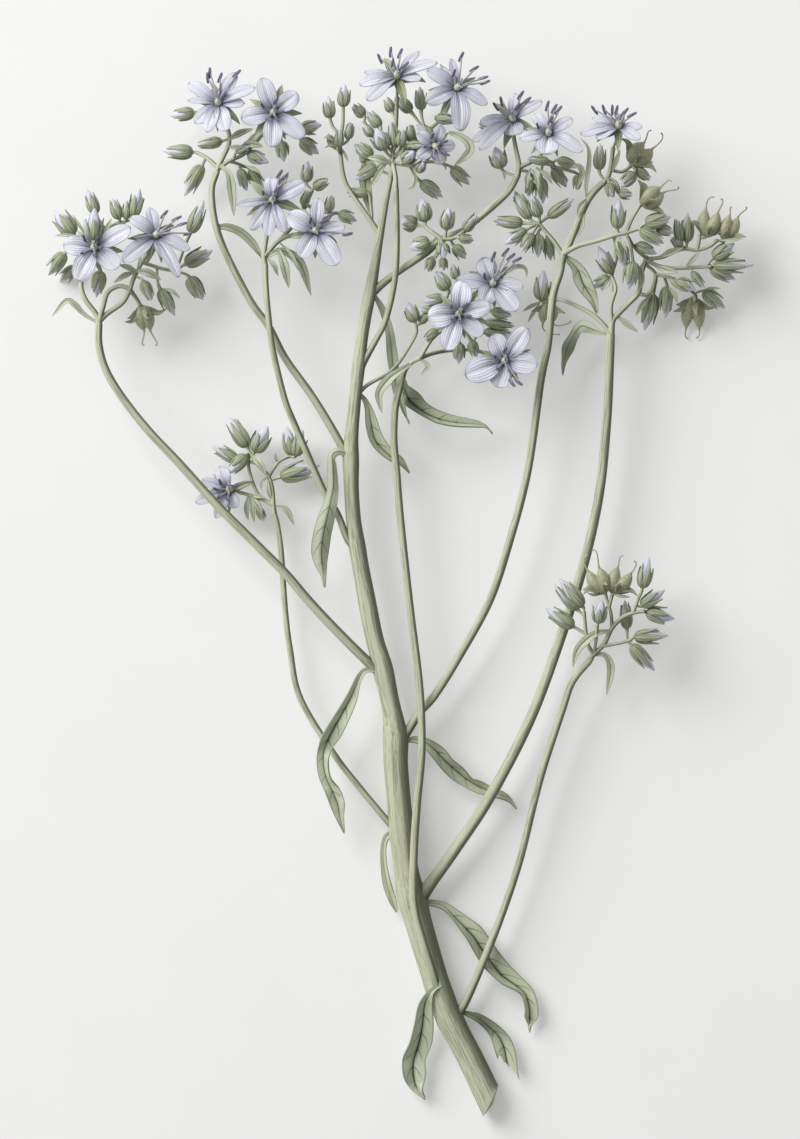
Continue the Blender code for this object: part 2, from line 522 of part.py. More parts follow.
        ),
        "fruits": (),
        "bracts": ((6, ((274, 506, 7), (286, 511, 7), (294, 525, 6))),),
        "blooms": (((229, 489, 8.4), 23, (-0.15, 0.1, 1.0), 60, 1.0),),
    },
}


def sheet(rows):
    """Sheet rows (across, down, height, widths if any) in metres."""
    rows = np.array(rows, float)
    placed = rows * PIXEL
    placed[:, 0] -= SHEET_MIDDLE[0] * PIXEL
    placed[:, 1] = SHEET_MIDDLE[1] * PIXEL - placed[:, 1]
    placed[:, 2] = rows[:, 2] * MM
    return placed


def spot(point):
    """One sheet position in metres."""
    return sheet([point])[0]


def unit(vector):
    return np.array(vector, float) / np.linalg.norm(vector)


def across(direction, wanted):
    """The part of the wanted direction that is square to another one."""
    square = np.array(wanted, float) - direction * np.dot(wanted, direction)
    if np.linalg.norm(square) < 1e-3:
        return across(direction, (0.0, 0.7, 0.7))
    return unit(square)


def smooth(knots, spacing):
    """Evenly spaced rows on the soft curve through the knots."""
    knots = np.array(knots, float)
    ends = np.vstack([2 * knots[0] - knots[1], knots, 2 * knots[-1] - knots[-2]])
    fine = []
    for i in range(len(knots) - 1):
        before, start, end, after = ends[i : i + 4]
        for t in np.arange(0, 1, 0.1):
            fine.append(
                start
                + 0.5 * t * (end - before)
                + t**2 * (before - 2.5 * start + 2 * end - 0.5 * after)
                + 0.5 * t**3 * (3 * start - before - 3 * end + after)
            )
    fine = np.array(fine + [knots[-1]])
    run = np.append(0, np.cumsum(np.linalg.norm(np.diff(fine[:, :3], axis=0), axis=1)))
    stops = np.linspace(0, run[-1], max(2, round(run[-1] / spacing) + 1))
    return np.column_stack([np.interp(stops, run, column) for column in fine.T])


def tapered(rows, foot, end):
    """Sheet rows in metres with a radius that runs evenly from foot to end."""
    rows = sheet(rows)
    return np.column_stack([rows, np.linspace(foot, end, len(rows)) * PIXEL])


def solid(rings, first=None, last=None):
    """Closed mesh through equal rings, with a point or a flat cap at either end."""
    points = [point for ring in rings for point in ring]
    sides = len(rings[0])
    faces = []
    for start in range(0, (len(rings) - 1) * sides, sides):
        for k in range(sides):
            n = (k + 1) % sides
            faces.append((start + k, start + n, start + sides + n, start + sides + k))
    for pole, start in ((first, 0), (last, len(points) - sides)):
        corners = list(range(start, start + sides))
        if pole is None:
            faces.append(corners)
            continue
        points.append(pole)
        faces += [(corners[k - 1], corners[k], len(points) - 1) for k in range(sides)]
    return points, faces


def ring(centre, side, other, radius, sides, turn=0.0):
    """Corners of a regular ring round a centre."""
    turns = [turn + 2 * math.pi * k / sides for k in range(sides)]
    return [centre + radius * (math.cos(a) * side + math.sin(a) * other) for a in turns]


def tube(rows, sides):
    """Round rod through rows of position and radius."""
    centres, radii = rows[:, :3], rows[:, 3]
    side = (0.3, 0.2, 0.9)
    rings = []
    for centre, radius, along in zip(centres, radii, np.gradient(centres, axis=0)):
        along = unit(along)
        side = across(along, side)
        rings.append(ring(centre, side, np.cross(along, side), radius, sides))
    return solid(rings)


def blade(rows, width, outline, thickness):
    """Leaf folded lightly along its midrib, following rows of position."""
    shares = np.linspace(0, 1, len(rows))
    widths = np.interp(shares, *np.array(outline).T) * width
    rings = []
    for centre, wide, along in zip(rows, widths, np.gradient(rows, axis=0)):
        along = unit(along)
        over = across(along, (0.0, 0.0, 1.0))
        side = np.cross(over, along) * wide / 2
        half = over * thickness / 2
        fold = over * wide * LEAF_FOLD
        rings.append([
            centre - side + fold + half, centre + half, centre + side + fold + half,
            centre + side + fold - half, centre - half, centre - side + fold - half,
        ])
    return solid(rings)


def flare(stalk, foot, facing, radii, heights, side):
    """Stalk and cup in one: a foot and a belly ring, then five points, notches and a pole.

    Heights run from the foot along the facing; radii and heights go by ring in that order.
    """
    side = across(facing, side)
    other = np.cross(facing, side)
    coming = unit(foot - stalk)
    start = across(coming, side)
    half_turn = math.pi / BUD_SIDES
    rings = [ring(stalk, start, np.cross(coming, start), PEDICEL_RADIUS * PEDICEL_FOOT, BUD_SIDES)]
    for number, (radius, height) in enumerate(zip(radii, heights)):
        turn = half_turn if number == len(radii) - 1 else 0.0
        rings.append(ring(foot + facing * height, side, other, radius, BUD_SIDES, turn))
    points = [point for corners in rings for point in corners] + [foot + facing * heights[-1]]
    faces = [list(range(BUD_SIDES))]
    foot_ring, belly, tips, notches = (number * BUD_SIDES for number in range(1, 5))
    for k in range(BUD_SIDES):
        n = (k + 1) % BUD_SIDES
        faces.append((k, n, foot_ring + n, foot_ring + k))
        faces.append((foot_ring + k, foot_ring + n, belly + n, belly + k))
        faces.append((belly + k, belly + n, notches + k))
        faces.append((belly + k, notches + k, tips + k))
        faces.append((belly + n, tips + n, notches + k))
        faces.append((tips + k, notches + k, len(points) - 1))
        faces.append((notches + k, tips + n, len(points) - 1))
    return points, faces


def bud(stalk, foot, tip, width):
    """Closed bud on its pedicel; the small ones show no sepals yet."""
    length = np.linalg.norm(tip - foot)
    facing = unit(tip - foot)
    radii = [share * width / 2 for share in BUD_WIDTHS]
    heights = [share * length for share in BUD_HEIGHTS]
    if width > SMALL_BUD:
        return flare(stalk, foot, facing, radii, heights, BUD_SIDE)
    rows = [(stalk, unit(foot - stalk), PEDICEL_RADIUS * PEDICEL_FOOT)]
    rows += [(foot + facing * height, facing, radius) for height, radius in zip(heights, radii[:2])]
    rings = []
    for centre, along, radius in rows:
        side = across(along, BUD_SIDE)
        rings.append(ring(centre, side, np.cross(along, side), radius, BUD_SIDES))
    return solid(rings, last=tip)


def calyx(stalk, centre, facing, reach, turn):
    """Cup and five spread sepals that stand right under a bloom."""
    side, other = bloom_axes(facing)
    first = math.cos(turn + math.pi / PETALS) * side + math.sin(turn + math.pi / PETALS) * other
    foot = centre - facing * CUP_DEPTH
    radii = (CUP_RADIUS * 0.5, CUP_RADIUS * 0.9, reach * SEPAL_REACH, CUP_RADIUS)
    heights = (0.0, CUP_DEPTH * 0.6, CUP_DEPTH, CUP_DEPTH)
    return flare(stalk, foot, facing, radii, heights, first)


def bloom_axes(facing):
    """Two directions square to the facing, the first one nearest to the right of the sheet."""
    side = across(facing, (1.0, 0.0, 0.0))
    return side, np.cross(facing, side)


def corolla(centre, facing, reach, turn, rise):
    """Five petals, the ovary and five stamens as one solid."""
    side, other = bloom_axes(facing)
    start = centre + facing * GAP
    steep = PETAL_RISE * rise
    lying = reach / math.hypot(1, steep)
    thick = facing * PETAL_THICKNESS * math.hypot(1, steep)
    upper = []
    middle = []
    stamens = []
    for k in range(PETALS):
        a = turn + 2 * math.pi * k / PETALS
        out = math.cos(a) * side + math.sin(a) * other
        wide = np.cross(facing, out)
        before = math.cos(a - math.pi / PETALS) * side + math.sin(a - math.pi / PETALS) * other
        upper.append(start + thick + lying * (before * NOTCH_RUN + facing * steep * NOTCH_RUN))
        for run, half_width, lift in PETAL_OUTLINE:
            upper.append(start + thick + lying * (out * run + wide * half_width + facing * steep * lift))
        middle.append(start + thick * 1.2 + out * OVARY_RADIUS)
        between = math.cos(a + math.pi / PETALS) * side + math.sin(a + math.pi / PETALS) * other
        top = start + between * STAMEN_LEAN + facing * STAMEN_HEIGHT
        flat = np.cross(facing, between)
        stamens += ring(top, flat, between, STAMEN_RADIUS, THREAD_SIDES, math.pi / 2)
    count = len(upper)
    points = upper + [point - thick for point in upper] + middle + stamens
    points += [start + facing * OVARY_HEIGHT, start]
    pole, below = len(points) - 2, len(points) - 1
    faces = [(k, (k + 1) % count, count + (k + 1) % count, count + k) for k in range(count)]
    for k in range(PETALS):
        notch, left, left_wide, tip, right_wide, right = range(k * 6, k * 6 + 6)
        after = (right + 1) % count
        hub, next_hub = 2 * count + k, 2 * count + (k + 1) % PETALS
        faces += [(hub, notch, left), (hub, left, right), (hub, right, after), (hub, next_hub, pole)]
        outer, near, next_near = range(2 * count + PETALS + 3 * k, 2 * count + PETALS + 3 * k + 3)
        faces += [(hub, after, outer, near), (after, next_hub, next_near, outer)]
        faces += [(next_hub, hub, near, next_near), (outer, next_near, near)]
        faces += [(below, after + count, notch + count)]
        faces += [(notch + count, after + count, right + count, left + count)]
        for level in (0, count):
            faces.append((left + level, left_wide + level, right_wide + level, right + level))
            faces.append((left_wide + level, tip + level, right_wide + level))
    return points, faces


def lobe(foot, end, style, bend, width):
    """Egg-shaped half of a fruit that runs out into its style."""
    along = unit(end - foot)
    side = across(along, BUD_SIDE)
    rings = []
    for share, wide in LOBE_OUTLINE:
        centre = foot + (end - foot) * share
        rings.append(ring(centre, side, np.cross(along, side), wide * width / 2, BUD_SIDES))
    along = unit(style - end)
    side = across(along, side)
    rings.append(ring(bend, side, np.cross(along, side), STYLE_RADIUS, BUD_SIDES))
    return solid(rings, foot, style)


def fruit(stalk, foot, lobes, styles, width):
    """Paired fruit with a style on each lobe, in its cup of spread sepals."""
    middle = np.mean(lobes, axis=0)
    facing = unit(middle - foot)
    radii = [share * width for share in FRUIT_CUP_WIDTHS]
    heights = [share * width for share in FRUIT_CUP_HEIGHTS]
    parts = [flare(stalk, foot, facing, radii, heights, BUD_SIDE)]
    for end, style in zip(lobes, styles):
        bend = (end + style) / 2 + (end - middle) * STYLE_BEND
        parts.append(lobe(foot + facing * STYLE_RADIUS, end, style, bend, width))
    return parts


def closed(name, points, faces):
    """Object of one closed solid, with its faces pointing out."""
    mesh = bpy.data.meshes.new(name)
    mesh.from_pydata([tuple(point) for point in points], [], faces)
    shape = bmesh.new()
    shape.from_mesh(mesh)
    bmesh.ops.recalc_face_normals(shape, faces=shape.faces)
    bmesh.ops.triangulate(shape, faces=shape.faces)
    shape.to_mesh(mesh)
    shape.free()
    return bpy.data.objects.new(name, mesh)


def make(name, parts, material):
    """Fuses overlapping solids into one named object of one material."""
    whole = closed(name, *parts[0])
    bpy.context.scene.collection.objects.link(whole)
    if len(parts) > 1:
        combine(whole, [closed("part", *part) for part in parts[1:]], "UNION")
    whole.data.materials.append(material)
    return whole


def combine(whole, others, operation):
    """Applies one Boolean with a collection of objects, then removes them."""
    group = bpy.data.collections.new("group")
    bpy.context.scene.collection.children.link(group)
    for other in others:
        group.objects.link(other)
    modifier = whole.modifiers.new("combine", "BOOLEAN")
    modifier.operation = operation
    modifier.operand_type = "COLLECTION"
    modifier.collection = group
    modifier.solver = "MANIFOLD"
    bpy.context.view_layer.update()
    result = bpy.data.meshes.new_from_object(whole.evaluated_get(bpy.context.evaluated_depsgraph_get()))
    old = whole.data
    whole.modifiers.clear()
    whole.data = result
    result.name = whole.name
    tidy(result)
    bpy.data.meshes.remove(old)
    for other in others:
        bpy.data.meshes.remove(other.data)
    bpy.data.collections.remove(group)


def tidy(mesh):
    """Joins the flat faces that a Boolean left in pieces."""
    shape = bmesh.new()
    shape.from_mesh(mesh)
    bmesh.ops.dissolve_limit(shape, angle_limit=FLAT, verts=shape.verts, edges=shape.edges)
    bmesh.ops.triangulate(shape, faces=shape.faces)
    shape.to_mesh(mesh)
    shape.free()


def carve(whole, parts):
    """Cuts solids out of an object and keeps its largest body."""
    combine(whole, [closed("cutter", *part) for part in parts], "DIFFERENCE")
    keep_largest(whole)


def keep_largest(whole):
    """Drops the loose scraps of an object."""
    shape = bmesh.new()
    shape.from_mesh(whole.data)
    left = set(shape.verts)
    bodies = []
    while left:
        body = set()
        front = [left.pop()]
        while front:
            point = front.pop()
            body.add(point)
            near = {edge.other_vert(point) for edge in point.link_edges} & left
            left -= near
            front += near
        bodies.append(body)
    largest = max(bodies, key=span)
    loose = [point for point in shape.verts if point not in largest]
    bmesh.ops.delete(shape, geom=loose, context="VERTS")
    shape.to_mesh(whole.data)
    shape.free()


def span(body):
    """Length of the diagonal of a body's box."""
    places = np.array([point.co for point in body])
    return np.linalg.norm(places.max(axis=0) - places.min(axis=0))


def swollen(rows):
    """Rod rows widened and lengthened by the clearance, to cut with."""
    rows = rows.copy()
    for end, beside in ((0, 1), (-1, -2)):
        rows[end, :3] += unit(rows[end, :3] - rows[beside, :3]) * GAP
    rows[:, 3] += GAP
    return rows


def floor_box():
    """Block below the surface, to cut flat spots with."""
    reach = PLANT_LENGTH
    corners = ((-reach, -reach), (reach, -reach), (reach, reach), (-reach, reach))
    return solid([[np.array((x, y, height)) for x, y in corners] for height in (-reach, 0.0)])


def stalk_run(rows, foot, end):
    """Rows of a stalk, with its foot sunk back into what it grows from."""
    rows = tapered(rows, foot, end)
    rows[0, :3] -= unit(rows[1, :3] - rows[0, :3]) * SUNK
    return smooth(rows, STALK_SPACING)


def joint(places, foot, facing):
    """The place on the stalks that a pedicel comes from: near, and behind what it carries."""
    offsets = foot - places
    distances = np.linalg.norm(offsets, axis=1)
    cost = distances - BEHIND_WEIGHT * offsets @ facing
    cost[distances < 2 * PEDICEL_RADIUS] += TOO_NEAR_COST
    return places[np.argmin(cost)]


def build_head(name, head, materials):
    """One green head or spray with all that grows on it, and its blooms."""
    parts = []
    places = []
    for foot, end, rows in head["stalks"]:
        run = stalk_run(rows, foot, end)
        parts.append(tube(run, STALK_SIDES))
        for start, after in zip(run[:-1, :3], run[1:, :3]):
            places += [start + (after - start) * share for share in JOINT_SHARES]
    places = np.array(places)
    for row in head["buds"]:
        foot, tip, width = spot(row[:3]), spot(row[3:6]), row[6] * PIXEL
        parts.append(bud(joint(places, foot, unit(tip - foot)), foot, tip, width))
    for *foot, lobes, styles, width in head["fruits"]:
        foot, lobes = spot(foot), sheet(lobes)
        stalk = joint(places, foot, unit(np.mean(lobes, axis=0) - foot))
        parts += fruit(stalk, foot, lobes, sheet(styles), width * PIXEL)
    for width, rows in head["bracts"]:
        run = smooth(sheet(rows), LEAF_SPACING)
        parts.append(blade(run, width * PIXEL, LEAF_OUTLINE, LEAF_THICKNESS))
    for number, (centre, reach, facing, turn, rise) in enumerate(head["blooms"], 1):
        centre, reach, facing, turn = spot(centre), reach * PIXEL, unit(facing), math.radians(turn)
        stalk = joint(places, centre - facing * CUP_DEPTH, facing)
        parts.append(calyx(stalk, centre, facing, reach, turn))
        bloom_name = f"bloom_{name.split('_', 1)[1]}_{number}"
        make(bloom_name, [corolla(centre, facing, reach, turn, rise)], materials["petal_pale"])
    return make(name, parts, materials["bud_green"])


def build():
    """Builds every piece of the plant."""
    for item in list(bpy.data.objects):
        bpy.data.objects.remove(item)
    materials = {}
    for name, colour in COLOURS.items():
        materials[name] = bpy.data.materials.new(name)
        materials[name].use_nodes = True
        shader = materials[name].node_tree.nodes["Principled BSDF"]
        shader.inputs["Base Color"].default_value = (*colour, 1.0)
        shader.inputs["Roughness"].default_value = 0.7
        materials[name].diffuse_color = (*colour, 1.0)

    carriers = {"main_stem": [(smooth(sheet(MAIN_STEM), STEM_SPACING), STEM_SIDES)]}
    for name, (foot, end, _, rows) in BRANCHES.items():
        carriers[name] = [(smooth(tapered(rows, foot, end), BRANCH_SPACING), BRANCH_SIDES)]
    for name, head in HEADS.items():
        runs = [stalk_run(rows, foot, end) for foot, end, rows in head["stalks"]]
        carriers[name] = [(run, STALK_SIDES) for run in runs]

    pieces = [make("main_stem", [tube(*carriers["main_stem"][0])], materials["stem_green"])]
    grown = {}
    for name, (_, _, parents, _) in BRANCHES.items():
        grown[name] = (make(name, [tube(*carriers[name][0])], materials["stem_green"]), parents)
    for name, (width, outline, parents, rows) in LEAVES.items():
        shape = blade(smooth(sheet(rows), LEAF_SPACING), width * PIXEL, outline, LEAF_THICKNESS)
        grown[name] = (make(name, [shape], materials["leaf_green"]), parents)
    for name, head in HEADS.items():
        grown[name] = (build_head(name, head, materials), head["grows_from"])
    for whole, parents in grown.values():
        runs = [run for parent in parents for run in carriers[parent]]
        carve(whole, [tube(swollen(run), sides) for run, sides in runs])
        pieces.append(whole)
    for whole in pieces:
        if min(corner[2] for corner in whole.bound_box) < 0:
            carve(whole, [floor_box()])


build()
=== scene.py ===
"""Looks of the cut flowering stem of hydrolea floribunda, lying with its front upward.

Every position is read off the sheet: across and down in pixels of the 800 x 1139 picture,
then the height above the surface in millimetres. Widths and radii in those rows are sheet
pixels too. All other sizes are in metres.
"""

import math
import zlib

import bpy
import numpy as np
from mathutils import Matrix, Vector


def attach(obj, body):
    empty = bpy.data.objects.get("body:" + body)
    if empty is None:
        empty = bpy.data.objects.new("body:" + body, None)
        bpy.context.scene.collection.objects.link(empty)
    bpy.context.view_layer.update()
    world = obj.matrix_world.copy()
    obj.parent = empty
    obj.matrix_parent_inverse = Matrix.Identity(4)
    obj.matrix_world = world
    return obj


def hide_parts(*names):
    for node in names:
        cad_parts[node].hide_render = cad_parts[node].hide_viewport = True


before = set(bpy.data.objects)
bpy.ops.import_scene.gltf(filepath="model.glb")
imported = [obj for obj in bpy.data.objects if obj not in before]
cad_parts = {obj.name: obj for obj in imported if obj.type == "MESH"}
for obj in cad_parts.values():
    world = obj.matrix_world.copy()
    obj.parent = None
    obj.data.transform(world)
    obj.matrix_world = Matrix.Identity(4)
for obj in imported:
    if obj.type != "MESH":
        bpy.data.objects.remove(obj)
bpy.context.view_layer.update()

# Real size: the plant runs from the top to the bottom row of the sheet below
PLANT_LENGTH = 0.300
SHEET_TOP = 50.0
SHEET_BOTTOM = 1118.0
SHEET_MIDDLE = (399.23, 576.6)
PIXEL = PLANT_LENGTH / (SHEET_BOTTOM - SHEET_TOP)
MM = 0.001
FLOOR_GAP = 0.05 * MM

# Main stem: across, down, height, radius
MAIN_STEM = (
    (491, 1102, 3.6, 13.5), (470, 1058, 3.9, 13), (447, 1013, 4.2, 12.5), (431, 965, 4.6, 13),
    (414, 905, 5, 13.5), (405, 860, 5.6, 12), (396.6, 772, 7, 12), (395.5, 735, 8, 11.5),
    (391, 706, 8.8, 9.5), (382, 665, 9.6, 9.5), (375, 640, 10, 9), (368, 606, 10.5, 9),
    (354, 523, 11.5, 7.5), (351, 455, 13, 7.5), (354, 411, 13.6, 6.2), (362, 339, 14.2, 6),
    (371, 288, 15, 5.6), (380, 236, 16, 3.8), (386, 202, 17, 3), (392, 172, 18, 2.4),
)

# Branches: radius at the foot and at the end, and the run from foot to end
BRANCHES = {
    "branch_long_left": (5.0, 3.7, (
        (381, 672, 9.5), (366, 660, 10.5), (333, 627, 12), (308, 600, 13), (285, 573, 14), (256, 544, 15),
        (218, 506, 15.5), (180, 464, 15.5), (148, 430, 15.5), (122, 397, 15), (106, 370, 15),
        (99, 345, 15), (99, 320, 15))),
    "branch_upper_left": (4.2, 3.2, (
        (350, 462, 12.8), (345, 452, 12.8), (330, 425, 13), (310, 393, 13.5), (285, 358, 14),
        (269, 327, 14.2), (253, 305, 14.6), (237, 276, 15), (223.5, 248, 15.5), (216, 226, 16),
        (212.6, 207, 16), (212, 187, 15.5), (218, 169, 15))),
    "branch_inner_left": (3.6, 3.0, (
        (355, 548, 11), (347, 538, 11.5), (338, 515, 12), (325, 493, 12.8), (317, 476, 13.5),
        (308, 455, 14.4), (295, 425, 16), (285, 400, 17), (275, 360, 18), (271, 338, 18.4),
        (268, 311, 18.4), (266, 288, 18), (265, 261, 17))),
    "branch_thin_top": (3.2, 2.8, (
        (361, 367, 14), (377, 338, 15.2), (385, 322, 16.4), (392, 296, 18), (396, 270, 19.4),
        (397, 236, 19.6), (396.5, 210, 20), (396, 188, 20.2))),
    "branch_upper_right": (3.7, 3.2, (
        (374, 291, 14.6), (395, 274, 16), (426, 253, 16), (441, 240, 16), (463, 230.5, 16),
        (478, 219, 16.5), (499, 201, 17), (511, 188, 17.5), (519, 172, 18))),
    "branch_centre": (4.2, 3.6, (
        (443, 1000, 5), (437, 986, 7), (431, 966, 9), (424, 945, 10.4), (414, 905, 11), (414, 855, 11.4),
        (417, 806, 11.8), (421, 765, 12.2), (422, 740, 12.2), (421, 706, 12), (418, 670, 12),
        (410, 606, 12), (401, 523, 12.4), (397, 475, 12.8), (394, 440, 13), (395, 411, 13.4),
        (398, 394, 13.8), (403, 377, 14))),
    "branch_right": (4.4, 3.4, (
        (400, 742, 8), (408, 731, 8), (420, 712, 8), (435, 695, 8.6), (460, 655, 9.6), (490, 600, 11),
        (510, 540, 12.2), (528, 470, 13), (541, 380, 14.4), (548, 345, 15), (553, 297, 15.8),
        (560, 273, 16), (563.5, 255, 16), (570, 242, 16.5), (584, 208, 17.4), (593, 193, 18),
        (604, 182, 18))),
    "branch_far_right": (6.2, 4.2, (
        (420, 899, 5.4), (432, 882, 6), (455, 850, 7), (490, 797, 8), (530, 720, 8.5), (560, 640, 9),
        (585, 560, 9.5), (600, 490, 10.5), (607, 420, 11.6), (610, 360, 12.6), (611, 330, 13))),
    "branch_low_right": (4.2, 3.4, (
        (455, 1018, 4.2), (465, 1004, 4.8), (480, 970, 6.4), (500, 920, 7.6), (520, 860, 8.8),
        (540, 780, 10.4), (562.5, 710, 12), (573, 681, 13), (592, 658, 14))),
    "branch_low_left": (3.4, 2.8, (
        (397, 832, 6), (388, 822, 6.2), (358, 786, 6.6), (333, 753, 7), (300, 698, 7), (290, 650, 7),
        (285, 610, 7), (281, 553, 7), (277, 525, 7), (273, 510, 7))),
}

